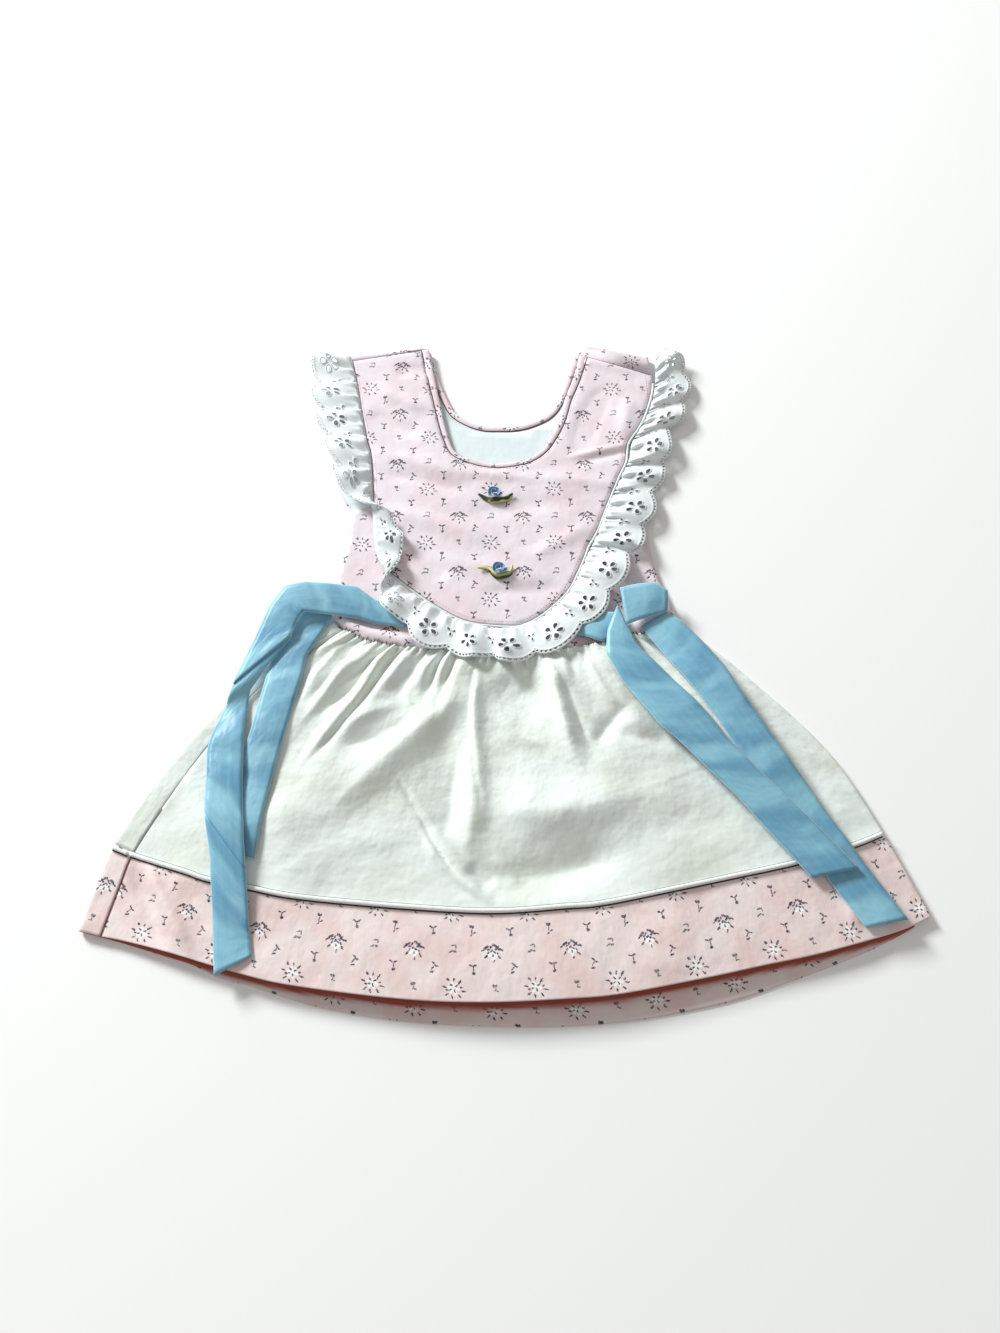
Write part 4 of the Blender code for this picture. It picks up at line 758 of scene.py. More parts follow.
# Creases in the cloth: height, half width left and right of the run, then the run's points
CREASES = (
    (1.6, 14, 5, ((-25, -47), (-56, -72), (-82, -98), (-108, -124), (-130, -142))),
    (-3.6, 1.6, 6, ((-21, -22), (-24, -50), (-25, -65), (-24, -78), (-21, -96))),
    (-1.3, 1.6, 5, ((-22, -83), (-20, -108), (-17, -120), (-17, -132))),
    (-3.2, 1.8, 2.6, ((-73, -106), (-63, -122), (-54, -136), (-46, -151), (-36, -166), (-24, -178))),
    (3.0, 6, 2.4, ((-56, -140), (-47, -157), (-34, -171), (-20, -183), (-10, -192))),
    (-2.6, 7, 7, ((-28, -168), (-16, -174), (-7, -181))),
    (1.8, 5, 5, ((-12, -159), (0, -168), (10, -180))),
    (-4.6, 14, 12, ((-24, -164), (6, -173), (40, -168), (84, -154))),
    (6.6, 24, 16, ((-14, -122), (22, -132), (58, -127), (96, -114))),
    (-2.2, 9, 9, ((-12, -40), (6, -58), (26, -70))),
    (1.6, 5, 5, ((-24, -118), (-23, -136), (-25, -160))),
    (-1.8, 7, 5, ((-32, -90), (-36, -124), (-38, -152))),
    (4.0, 8, 2.6, ((29, -22), (33, -44), (37, -65), (46, -94))),
    (-2.8, 3, 9, ((34, -28), (44, -52), (50, -70), (58, -92))),
    (2.0, 3.5, 3, ((52, -15), (60, -31), (69, -50), (79, -58))),
    (-2.6, 6, 5, ((84, -56), (70, -70), (58, -88))),
    (-2.4, 11, 11, ((-4, -32), (9, -47), (24, -34))),
    (-2.6, 4, 5, ((-48, -20), (-50, -38), (-51, -54))),
    (1.3, 1.6, 1.6, ((-70, -50), (-63, -60), (-56, -69))),
    (-2.4, 6, 7, ((-61, -66), (-87, -80), (-112, -88))),
    (1.8, 5, 5, ((-70, -54), (-96, -65), (-113, -78))),
    (2.2, 3.5, 3.5, ((-112, -6), (-126, -26), (-137, -45))),
    (2.6, 4, 4, ((-98, -12), (-112, -29), (-124, -49), (-139, -72))),
    (2.8, 4.5, 4, ((-83, -15), (-97, -43), (-117, -72), (-138, -104))),
    (2.0, 4, 4, ((-67, -18), (-77, -34), (-88, -46))),
    (-2.2, 2.6, 3, ((-105, -11), (-117, -29), (-135, -55))),
    (-2.2, 2.6, 3, ((-90, -14), (-105, -43), (-126, -62))),
    (-2.6, 3, 3.5, ((-75, -18), (-92, -43), (-109, -69), (-134, -101))),
    (-2.2, 7, 7, ((150, -42), (186, -88), (212, -122), (228, -139))),
    (1.6, 6, 6, ((166, -34), (198, -78), (224, -116))),
    (-1.8, 6, 6, ((72, -74), (92, -80), (112, -84))),
    (-1.2, 16, 12, ((-150, -112), (-118, -126), (-84, -128))),
    (1.0, 10, 10, ((-128, -160), (-90, -150), (-66, -160))),
    (-1.4, 12, 12, ((96, -128), (128, -138), (160, -132))),
    (1.2, 3, 6, ((-6, -60), (8, -78), (30, -88))),
)
SKIRT_PUFF, CREASE_DEPTH = 3.5, 1.25
BROAD_GATHERS, FINE_GATHERS = 17, 41
GATHER_LENGTHS = (0.42, 0.24, 0.34, 0.20, 0.48, 0.28, 0.38)


def folds_at(x, y, folds):
    height = np.zeros_like(x)
    for x0, y0, x1, y1, rise, width0, width1 in folds:
        run = np.array([x1 - x0, y1 - y0], float)
        length = np.linalg.norm(run)
        run /= length
        along = ((x - x0) * run[0] + (y - y0) * run[1]) / length
        across = (x - x0) * run[1] - (y - y0) * run[0]
        width = width0 + (width1 - width0) * np.clip(along, 0, 1)
        ends = smoothstep((along + 0.15) / 0.4) * smoothstep((1.15 - along) / 0.4)
        height += rise * ends * np.exp(-(across / width) ** 2)
    return height


def creases_at(x, y, creases):
    """Sharp or soft creases along short runs, each dying out at its ends."""
    places = np.column_stack([x, y])
    height = np.zeros_like(x)
    for rise, left_width, right_width, points in creases:
        run = Curve(points).every(1)
        ahead = np.gradient(run, axis=0)
        ahead /= np.linalg.norm(ahead, axis=1, keepdims=True)
        near = (np.abs(x - run[:, 0].mean()) < np.ptp(run[:, 0]) / 2 + 45) & (
            np.abs(y - run[:, 1].mean()) < np.ptp(run[:, 1]) / 2 + 45)
        offset = places[near][:, None] - run[None]
        gap = np.linalg.norm(offset, axis=2)
        nearest = gap.argmin(axis=1)
        offset = offset[np.arange(len(nearest)), nearest]
        side = offset[:, 0] * ahead[nearest][:, 1] - offset[:, 1] * ahead[nearest][:, 0]
        width = np.where(side > 0, right_width, left_width)
        share = nearest / (len(run) - 1)
        ends = 0.15 + 0.85 * smoothstep(share / 0.3) * smoothstep((1 - share) / 0.3)
        height[near] += rise * ends * np.exp(-(gap.min(axis=1) / width) ** 1.6)
    return height


def front_middle(points):
    """The height of the middle of the front skirt at each place."""
    x, y = points[:, 0], points[:, 1]
    lifted = 4.5 * np.exp(-(x / 120) ** 2) * smoothstep((-y - 160) / 80)
    folds = np.maximum(folds_at(x, y, SKIRT_FOLDS) + lifted, 1.0 - SKIRT_PUFF)
    left, right = np.array(SKIRT_LEFT, float), np.array(SKIRT_RIGHT, float)
    from_left = x - np.interp(-y, -left[:, 1], left[:, 0])
    from_right = np.interp(-y, -right[:, 1], right[:, 0]) - x
    inward = np.minimum(from_left - SEAM_STRIP, from_right - 2 * SIDE_FOLD)
    reach = smoothstep(inward / 56.0)
    height = COTTON / 2 + 2 * SIDE_FOLD + reach * smoothstep((8 - y) / 40) * (SKIRT_PUFF + folds)
    height += smoothstep(inward / 9.0) * folds_at(x, y, SIDE_FOLDS)
    seam = np.array(FRONT_SEAM, float)
    above_seam = smoothstep((y - np.interp(x, seam[:, 0], seam[:, 1])) / 10)
    height += CREASE_DEPTH * creases_at(x, y, CREASES) * smoothstep(reach * 2) * above_seam
    return height


def gather_height(across, down):
    """Broad gathers of uneven length that fan out from the waist seam, and fine ones close to it."""
    phase = across * BROAD_GATHERS + 0.25 * np.sin(across * 37.0) + 0.15 * np.sin(across * 19.0 + 1.0)
    number = np.floor(phase).astype(int)
    lengths = np.array(GATHER_LENGTHS)
    length = lengths[number % len(lengths)]
    length = length + (lengths[(number + 1) % len(lengths)] - length) * smoothstep(phase - number)
    middle = smoothstep((across - 0.36) / 0.06) * smoothstep((0.80 - across) / 0.06)
    length = length * (1 - 0.5 * middle)
    swell = 0.5 + 0.9 * smoothstep(down / 0.12)
    ends = smoothstep(across / 0.02) * smoothstep((1 - across) / 0.03)
    broad = (2.3 - 0.9 * middle) * (1 - smoothstep(down / length)) * swell * np.cos(2 * math.pi * phase)
    fine_phase = across * FINE_GATHERS + 0.3 * np.sin(across * 29.0)
    reach = 0.085 + 0.03 * np.sin(across * 47.0)
    fine = 1.05 * (1 - smoothstep(down / reach)) * np.cos(2 * math.pi * fine_phase)
    return ends * (broad + fine)


# %% Skirt and hem band
def turned_edge(edge, down, past, side, upward):
    start, outward = edge(down), edge.outward(down, side)
    turn = np.clip(past / SIDE_FOLD, 0, math.pi)
    reach = SIDE_FOLD * np.sin(turn) - np.maximum(past - math.pi * SIDE_FOLD, 0)
    height = COTTON / 2 + SIDE_FOLD * (1 + (-1 if upward else 1) * np.cos(turn))
    return np.column_stack([start + outward * reach[:, None], height])


def painted_shadow_under_front_hem(plan):
    """1 on the part of the back band that lies in the shade just past the front hem, where a reddish shadow
    is painted.
    """
    hem = np.array(FRONT_HEM, float)
    past = np.interp(plan[:, 0], hem[:, 0], hem[:, 1]) - plan[:, 1]
    return smoothstep((past + 16) / 3) * (1 - smoothstep((past - 2.6) / 2.2))


def skirt_piece(name, edges, side, rows, columns, strip, material, gathered=False):
    """A panel that turns round one side fold: a front at the right, side -1, a back at the left."""
    width = (edges[0].length + edges[1].length) / 2
    depth = edges[3].length
    half_turn = math.pi * SIDE_FOLD
    down = np.repeat(np.linspace(0, 1, rows), columns + 14)
    flap = half_turn + strip(down)
    steps = np.concatenate([np.zeros(columns), np.linspace(0, 1, 9)[1:], np.full(6, 1.0)])
    beyond = np.concatenate([np.zeros(columns + 8), np.linspace(0, 1, 7)[1:]])
    past = np.tile(steps, rows) * half_turn + np.tile(beyond, rows) * (flap - half_turn)
    across = np.tile(np.concatenate([np.linspace(0, 1, columns), np.ones(14)]), rows)
    plan = patch(edges, across, down)
    is_front = side < 0
    height = front_middle(plan) if is_front else np.full(len(plan), COTTON / 2)
    if gathered:
        height = height + gather_height(across, down)
    middle = np.column_stack([plan, height])
    turning = past > 0
    middle[turning] = turned_edge(edges[3], down[turning], past[turning], side, not is_front)
    uv = np.column_stack([across * width + past, -down * depth])
    if not is_front:
        uv[:, 0] = -uv[:, 0]
    shade = np.zeros(len(uv))
    # The back band gets a reddish painted shadow where it lies in shade under the lifted front hem.
    if name == "hem_band_back":
        shade = painted_shadow_under_front_hem(middle[:, :2]) * (middle[:, 2] < 2)
    return sheet(name, middle, grid_faces(rows, columns + 14), 0.7, uv, material, {"shade": shade})


def joined(start, points, end):
    return Curve([tuple(start)] + [tuple(point) for point in points] + [tuple(end)])


def skirt_strip(down):
    return 4 + (SEAM_STRIP - 4) * smoothstep(np.asarray(down) / 0.8)


def band_strip(down):
    return np.asarray(down) * 0 + SEAM_STRIP


fold_inset = SIDE_FOLD + COTTON / 2
left_fold = Curve(SKIRT_LEFT).moved(-fold_inset, 1)
right_fold = Curve(SKIRT_RIGHT).moved(-fold_inset, -1)
seam_top = COTTON + 2 * SIDE_FOLD
for label, start, end, strip, white, front_top, front_bottom, back_top, back_bottom in (
        ("skirt", 0.0, BAND_START, skirt_strip, True, WAIST_FRONT, FRONT_SEAM, WAIST_BACK, BACK_SEAM),
        ("hem_band", BAND_START, 1.0, band_strip, False, FRONT_SEAM, FRONT_HEM, BACK_SEAM, BACK_HEM)):
    material = WHITE_COTTON if white else BAND_PRINT
    rows = 150 if white else 60
    fold, seam = Part(right_fold, start, end), Part(left_fold, start, end, strip, 1)
    edges = (joined(seam(0.0), front_top[1:-1], fold(0.0)),
             joined(seam(1.0), front_bottom[1:-1], fold(1.0)), seam, fold)
    skirt_piece(label + "_front", edges, -1, rows, 285, strip, material, white)
    # A thin tube along the side seam, grey on the skirt and rose on the band, is painted shade in the
    # seam's ditch.
    ditch = seam(np.linspace(0.84 if white else 0.0, 1.0, 60))
    tube(label + "_side_ditch", np.column_stack([ditch, np.full(60, seam_top + 0.05)]),
         0.22 if white else 0.3, 6, GREY_THREAD_AND_DITCH_SHADE if white else ROSE_SHADOW)
    fold, seam = Part(left_fold, start, end), Part(right_fold, start, end, strip, -1)
    edges = (joined(seam(0.0), back_top[-2:0:-1], fold(0.0)),
             joined(seam(1.0), back_bottom[-2:0:-1], fold(1.0)), seam, fold)
    skirt_piece(label + "_back", edges, 1, rows // 2, 200, strip, material)

# %% [markdown]
# ## The hem piping
#
# A cotton cord sits in the seam between the skirt and the band. On the printed side the seam's ditch
# lies in shade under the cord, so a fine dark tube is laid there as painted shade, with a grey one above
# the cord.

# %% Piping
seam_run = Curve(FRONT_SEAM)(np.linspace(0.002, 0.995, 300))
seam_height = front_middle(seam_run)
tube("hem_piping", np.column_stack([seam_run + (0, 0.4), seam_height + 1.5]), 1.45, 12, WHITE_CORD)
tube("hem_ditch", np.column_stack([seam_run - (0, 1.5), seam_height + 0.55]), 0.5, 6, SEAM_SHADOW)
back_run = np.linspace((-253.0, -153.8), (-243.0, -157.8), 12)
tube("back_piping", np.column_stack([back_run, np.full(12, seam_top + 1.2)]), 1.2, 10, WHITE_CORD)
tube("back_ditch", np.column_stack([back_run - (0.4, 1.5), np.full(12, seam_top + 0.4)]), 0.45, 6,
     SEAM_SHADOW)
tube("hem_ditch_above", np.column_stack([seam_run + (0, 2.1), seam_height + 0.35]), 0.35, 6, GREY_THREAD_AND_DITCH_SHADE)

# %% [markdown]
# ## The bodice
#
# The back bodice lies lowest. Its shoulders turn over onto the front, where they meet the bib at the
# shoulder seams, and its white lining shows in the neck. The front bodice lies on it, and the printed
# bib on that. Each is cut flat and filled with an even spread of points, so that it can swell softly.

# %% Bodice outlines
NECK_BACK = ((-61, 254), (-56, 234), (-51, 217), (-45, 202), (-38, 189), (-27, 181), (-16, 177),
             (-4, 176.5), (8, 177), (19, 180), (33, 188), (42, 202), (49, 222), (56, 243), (61, 256))
NECK_FRONT = ((-61, 249), (-56, 222), (-49, 187), (-45, 169), (-39, 152), (-28, 145), (-16, 141),
              (-4, 140), (8, 142), (18, 145), (28, 153), (35, 164), (42, 180), (47, 200), (54, 220),
              (60, 243))
SHOULDER_LEFT = ((-61, 254), (-129, 243))
SHOULDER_RIGHT = ((61, 256), (115, 243))
SEAM_LEFT = ((-61, 249.5), (-122, 237.5))
SEAM_RIGHT = ((60, 244), (117, 223.5))
ARMHOLE_LEFT = ((-129, 237), (-131, 210), (-135, 180), (-134, 153), (-129, 132), (-122, 112), (-114, 99))
ARMHOLE_RIGHT = ((115, 237), (116, 220), (117, 190), (116, 150), (112, 120), (107, 98))
SIDE_LEFT = ((-114, 99), (-115, 82), (-117, 66), (-120, 52), (-121, 38), (-121, 9))
SIDE_RIGHT = ((107, 98), (105, 80), (108, 52), (113, 36), (118, 22), (120, 9))
BIB_LEFT = ((-122, 237), (-117, 210), (-112, 184), (-107, 163), (-103, 149), (-101, 132), (-99, 109),
            (-96, 86), (-94, 68), (-88, 51), (-75, 39), (-60, 27), (-49, 19), (-34, 10), (-22, 6), (-7, 4))
BIB_RIGHT = ((117, 223), (115, 206), (109, 186), (103, 173), (94, 158), (92, 143), (86, 129),
             (80, 114), (74, 98), (67, 80), (61, 69), (57, 58), (52, 46), (45, 32), (32, 18),
             (19, 8), (5, 3))
FRONT_TOP = ((84, 106), (40, 112), (-40, 112), (-86, 108))
LINING_Z, FRONT_Z, BIB_Z = 1.5, 2.8, 4.3
BACK_BINDING = 4.5


class Shoulder:
    """The line over which a shoulder of the back turns onto the front."""

    def __init__(self, line):
        self.start, self.end = (np.array(point, float) for point in line)
        run = (self.end - self.start) / np.linalg.norm(self.end - self.start)
        self.out = np.array([-run[1], run[0]]) * (1 if run[0] > 0 else -1)
        self.inset = SHOULDER_FOLD + COTTON / 2
        self.half_turn = math.pi * SHOULDER_FOLD

    def past(self, points):
        return (np.asarray(points, float) - self.start) @ self.out + self.inset

    def at(self, along, past):
        return self.start + (self.end - self.start) * along + self.out * (past - self.inset)

    def unfolded(self, point):
        within = -(np.array(point, float) - self.start) @ self.out
        return np.array(point, float) + self.out * (2 * within - 2 * self.inset + self.half_turn)

    def turned(self, points):
        past = self.past(points)
        turn = np.clip(past / SHOULDER_FOLD, 0, math.pi)
        reach = SHOULDER_FOLD * np.sin(turn) - np.maximum(past - self.half_turn, 0)
        plan = points - self.out * (past - reach)[:, None]
        return np.column_stack([plan, COTTON / 2 + SHOULDER_FOLD * (1 - np.cos(turn))])


# %% Back bodice and lining
neck = Curve(NECK_BACK)
neck_places = np.linspace(0.03, 0.97, 90)
panel_neck = neck(neck_places) + neck.outward(neck_places, 1) * (BACK_BINDING - 1.0)
left, right = Shoulder(SHOULDER_LEFT), Shoulder(SHOULDER_RIGHT)
fold_steps = np.linspace(0, left.half_turn, 7)
inner_share = BACK_BINDING / np.linalg.norm(right.end - right.start)
panel_neck = panel_neck[(left.past(panel_neck) < -2) & (right.past(panel_neck) < -2)]
back_outline = np.vstack([
    Curve(SIDE_RIGHT[::-1]).every(6)[:-1], Curve(ARMHOLE_RIGHT[::-1]).every(6),
    [right.at(1.0, step) for step in fold_steps],
    [right.unfolded(SEAM_RIGHT[1])], [right.unfolded(SEAM_RIGHT[0])],
    [right.at(inner_share, step) for step in fold_steps[::-1]], panel_neck[::-1],
    [left.at(inner_share, step) for step in fold_steps],
    [left.unfolded(SEAM_LEFT[0])], [left.unfolded(SEAM_LEFT[1])],
    [left.at(1.0, step) for step in fold_steps[::-1]],
    Curve(ARMHOLE_LEFT).every(6)[:-1], Curve(SIDE_LEFT).every(6)])
spread = even_points(back_outline, 8)
spread = spread[(left.past(spread) < -6) & (right.past(spread) < -6)]
fold_rows = [shoulder.at(share, step) for shoulder in (left, right) for step in fold_steps
             for share in np.linspace(0.12, 0.95, 14)]


def flat_filled(outline, inner, holes=()):
    """Filled triangles inside the outline, none in a hole."""
    flat, faces = filled(outline, inner, holes)
    middles = flat[faces].mean(axis=1)
    kept = inside(np.asarray(outline), middles)
    for hole in holes:
        kept &= ~inside(np.asarray(hole), middles)
    return flat, faces[kept]


flat, faces = flat_filled(back_outline, np.vstack([spread, fold_rows]))
middle = np.column_stack([flat, np.full(len(flat), COTTON / 2)])
for shoulder, sign in ((left, -1), (right, 1)):
    beyond = (shoulder.past(flat) > 0) & (flat[:, 0] * sign > 0)
    middle[beyond] = shoulder.turned(flat[beyond])
sheet("bodice_back", middle, faces, 0.7, flat * (-1, 1), BIB_PRINT)

lining = np.vstack([Curve(SIDE_RIGHT[::-1]).moved(-1.0, 1).every(6),
                    Curve(ARMHOLE_RIGHT[::-1]).moved(-1.0, 1).every(6), panel_neck[::-1],
                    Curve(ARMHOLE_LEFT).moved(-1.0, 1).every(6), Curve(SIDE_LEFT).moved(-1.0, 1).every(6)])
lining[:, 1] -= np.maximum(np.maximum(left.past(lining), right.past(lining)) + 1.5, 0) / left.out[1]
lining = lining[np.concatenate([[True], np.linalg.norm(np.diff(lining, axis=0), axis=1) > 0.8])]
flat, faces = flat_filled(lining, even_points(lining, 8))
sheet("back_lining", np.column_stack([flat, np.full(len(flat), LINING_Z + 0.5)]), faces, 0.6, flat,
      WHITE_LINING)


# %% Front bodice and bib
BIB_FOLDS = (
    (-100, 196, -40, 130, 0.9, 7, 10), (-96, 160, -30, 96, -0.6, 6, 9), (-60, 60, 30, 40, 0.6, 6, 8),
    (-84, 228, -60, 227, -1.6, 5, 5), (-102, 186, -66, 165, -1.8, 6, 7), (-100, 208, -64, 190, 1.4, 6, 6),
    (-96, 150, -30, 128, 1.2, 5, 7), (-90, 132, -30, 116, -0.9, 4, 6), (-66, 66, -44, 42, -1.6, 6, 6),
    (-90, 100, -10, 74, 1.1, 6, 8), (78, 210, 55, 152, -2.0, 8, 8), (98, 200, 88, 160, 1.2, 7, 6),
    (50, 146, 98, 158, 1.3, 2.0, 2.0), (54, 141, 96, 152, -0.9, 3, 3), (30, 128, 84, 120, 1.0, 5, 6),
    (-30, 96, 60, 108, -0.8, 6, 8), (20, 60, 64, 86, 1.0, 5, 6), (-14, 30, 40, 34, -0.8, 5, 6),
    (-34, 132, 24, 126, 0.9, 4, 4), (60, 238, 104, 226, 0.9, 4, 4),
)


def bib_rise(points):
    """Soft swells and creases in the bib."""
    x, y = points[:, 0], points[:, 1]
    swell = 0.8 * np.exp(-((x + 45) / 26) ** 2 - ((y - 120) / 40) ** 2)
    swell += 0.7 * np.exp(-((x - 38) / 24) ** 2 - ((y - 96) / 34) ** 2)
    swell += 0.6 * np.exp(-((x - 2) / 60) ** 2 - ((y - 52) / 16) ** 2)
    return BIB_Z + COTTON / 2 + 1.2 + np.maximum(swell + 1.4 * folds_at(x, y, BIB_FOLDS), -1.3)


def front_rise(points):
    """A soft roll just above the waist seam at both sides of the bib."""
    x, y = points[:, 0], points[:, 1]
    waist = np.array(WAIST_FRONT, float)
    above = y - np.interp(x, waist[:, 0], waist[:, 1])
    puff = np.exp(-((above - 5.5) / 4.0) ** 2) * smoothstep((np.abs(x) - 60) / 10)
    hollow = np.exp(-((above - 15) / 5.0) ** 2) * smoothstep((np.abs(x) - 60) / 10)
    side = smoothstep((121 - np.abs(x)) / 8)
    return FRONT_Z + COTTON / 2 + side * (3.4 * puff - 0.5 * hollow)


def flat_panel(name, outline, spacing, rise, material, rounded=0.5):
    flat, faces = flat_filled(outline, even_points(outline, spacing))
    away = from_line(outline, flat)
    height = rise(flat) - rounded * np.exp(-(away / 1.5) ** 2)
    return sheet(name, np.column_stack([flat, height]), faces, 0.7, flat, material)


front_outline = np.vstack([Curve(SIDE_LEFT).every(4)[:-1], Curve(WAIST_FRONT).every(3)[:-1],
                           Curve(SIDE_RIGHT[::-1]).every(4), FRONT_TOP])
flat_panel("bodice_front", front_outline, 3, front_rise, BIB_PRINT, 0.2)

neck_front = Curve(NECK_FRONT)
places = np.linspace(0, 1, 140)
binding_width = 3.6 + 2.4 * np.abs(2 * places - 1) ** 1.5
neck_out = neck_front.outward(places, 1)
neck_edge = neck_front(places)
bib_neck = neck_edge + neck_out * (binding_width - 0.8)[:, None]
bib_outline = np.vstack([Curve(BIB_LEFT).every(3)[:-1], Curve(BIB_RIGHT[::-1]).every(3), bib_neck[::-1]])
flat_panel("bib", bib_outline, 2.4, bib_rise, BIB_PRINT, 1.2)

# %% [markdown]
# ## Neck bindings, cords and seam lines
#
# The neck edges are bound with a strip of the same print, rolled over the raw edge. A dark tube laid
# in the ditch where the strip is sewn down is painted shade, and so are the dark tubes along the
# shoulder seams. Round the bib runs a thin white cord, with a grey tube beside it as painted shade in
# its ditch.

# %% Bindings and cords
BINDING_PRINT = printed_cotton("binding_print", srgb(236, 222, 228), srgb(231, 205, 210), srgb(70, 64, 84),
                               srgb(112, 116, 120), srgb(250, 246, 248), (47.3, 46.2), (9.0, 20.0), 0.4)


def rolled_binding(name, inner_edge, outward, width, low, high, material):
    """A strip rolled over an edge, round in section, between two heights."""
    turns = np.radians([-60, -20, 20, 60, 90, 120, 150, 180])
    reach = np.array([0.25, 0.05, 0.0, 0.12, 0.35, 0.62, 0.85, 1.0])
    lift = np.array([0.0, 0.25, 0.6, 0.9, 1.0, 0.98, 0.85, 0.55])
    count = len(inner_edge)
    plan = inner_edge[:, None] + outward[:, None] * (width[:, None] * reach)[..., None]
    height = np.broadcast_to(low + (high - low) * lift, (count, len(turns)))
    middle = np.dstack([plan, height[..., None]]).reshape(-1, 3)
    run = np.concatenate([[0], np.cumsum(np.linalg.norm(np.diff(inner_edge, axis=0), axis=1))])
    around = np.concatenate([[0], np.cumsum(np.hypot(np.diff(reach) * width.mean(), np.diff(lift) * 1.5))])
    uv = np.stack(np.broadcast_arrays(run[:, None], around), axis=-1).reshape(-1, 2)
    return sheet(name, middle, grid_faces(count, len(turns)), 0.5, uv, material)


rolled_binding("front_neck_binding", neck_edge, neck_out, binding_width, BIB_Z, BIB_Z + 1.6, BINDING_PRINT)
rolled_binding("back_neck_binding", neck(neck_places), neck.outward(neck_places, 1),
               np.full(len(neck_places), BACK_BINDING), 0.5, LINING_Z + 1.3, BINDING_PRINT)


def on_top(run, below, lift):
    height = np.array([top_of(below, x, y) for x, y in run])
    return np.column_stack([run, height + lift])


neck_ditch = neck_edge + neck_out * binding_width[:, None]
tube("front_neck_ditch", on_top(neck_ditch, ["bib"], 0.25), 0.34, 6, SEAM_SHADOW)
back_ditch = (neck(neck_places) + neck.outward(neck_places, 1) * BACK_BINDING)[8:-8]
tube("back_neck_ditch", on_top(back_ditch, ["back_lining"], 0.2), 0.38, 6, SEAM_SHADOW)
for label, (start, end) in (("left", SEAM_LEFT), ("right", SEAM_RIGHT)):
    run = np.linspace(start, end, 40)[1:-2]
    tube(f"shoulder_ditch_{label}", on_top(run - (0, 0.3), ["bib"], 0.1), 0.24, 6, ROSE_SHADOW)
    stitches(f"shoulder_stitches_{label}", on_top(run + (0, 3.0), ["bodice_back", "bib"], 0.1),
             2.4, 0.85, 0.16, PINK_THREAD)
bib_edge = np.vstack([Curve(BIB_LEFT).every(2)[:-1], Curve(BIB_RIGHT[::-1]).every(2)])
edge_curve = Curve(bib_edge[::4])
edge_places = np.linspace(0.004, 0.996, 420)
edge_run, edge_out = edge_curve(edge_places), edge_curve.outward(edge_places, 1)
tube("bib_cord", np.column_stack([edge_run + edge_out * 0.4, np.full(len(edge_run), BIB_Z + 1.5)]), 0.9, 8,
     WHITE_CORD)
tube("bib_ditch", on_top(edge_run - edge_out * 1.0, ["bib"], 0.0), 0.26, 6, GREY_THREAD_AND_DITCH_SHADE)
stitches("bib_stitches", on_top(edge_run - edge_out * 3.4, ["bib"], 0.1), 2.5, 0.9, 0.16, PINK_THREAD)
armhole = Curve(ARMHOLE_RIGHT)
armhole_places = np.linspace(0.02, 0.9, 80)
armhole_run = armhole(armhole_places) - armhole.outward(armhole_places, -1) * 5.0
stitches("armhole_stitches", on_top(armhole_run, ["back_lining", "bib", "bodice_front"], 0.1),
         2.4, 0.85, 0.16, GREY_THREAD_AND_DITCH_SHADE)
neck_stitch = (neck_edge + neck_out * (binding_width + 1.6)[:, None])[6:-6]
stitches("neck_stitches", on_top(neck_stitch, ["bib"], 0.1), 2.4, 0.85, 0.16, PINK_THREAD)
# The gather ticks are short dark marks across the waist seam: painted shade in the valleys between the
# gathers.
waist_curve = Curve(WAIST_FRONT)
for label, low, high in (("left", 0.045, 0.20), ("right", 0.74, 0.93)):
    waist_run = waist_curve(np.linspace(low, high, 60))
    waist_height = [max(top_of(["bodice_front", "skirt_front"], x, y + step) for step in (-0.6, 0, 0.6))
                    for x, y in waist_run]
    tick_run = np.column_stack([waist_run + (0, 0.6), waist_height]) + (0, 0, 0.15)
    stitches(f"gather_ticks_{label}", tick_run, 3.3, 1.9, 0.34, GATHER_SHADE, math.pi / 2)

# %% [markdown]
# ## The satin ties
#
# Each tie is 25 mm satin ribbon. It is a ruled strip through the sections that a table gives, and it
# lies on whatever is below it. Where the real ribbon is folded over itself, the strip has one diagonal
# step in its height. The ends are cut at a slant.

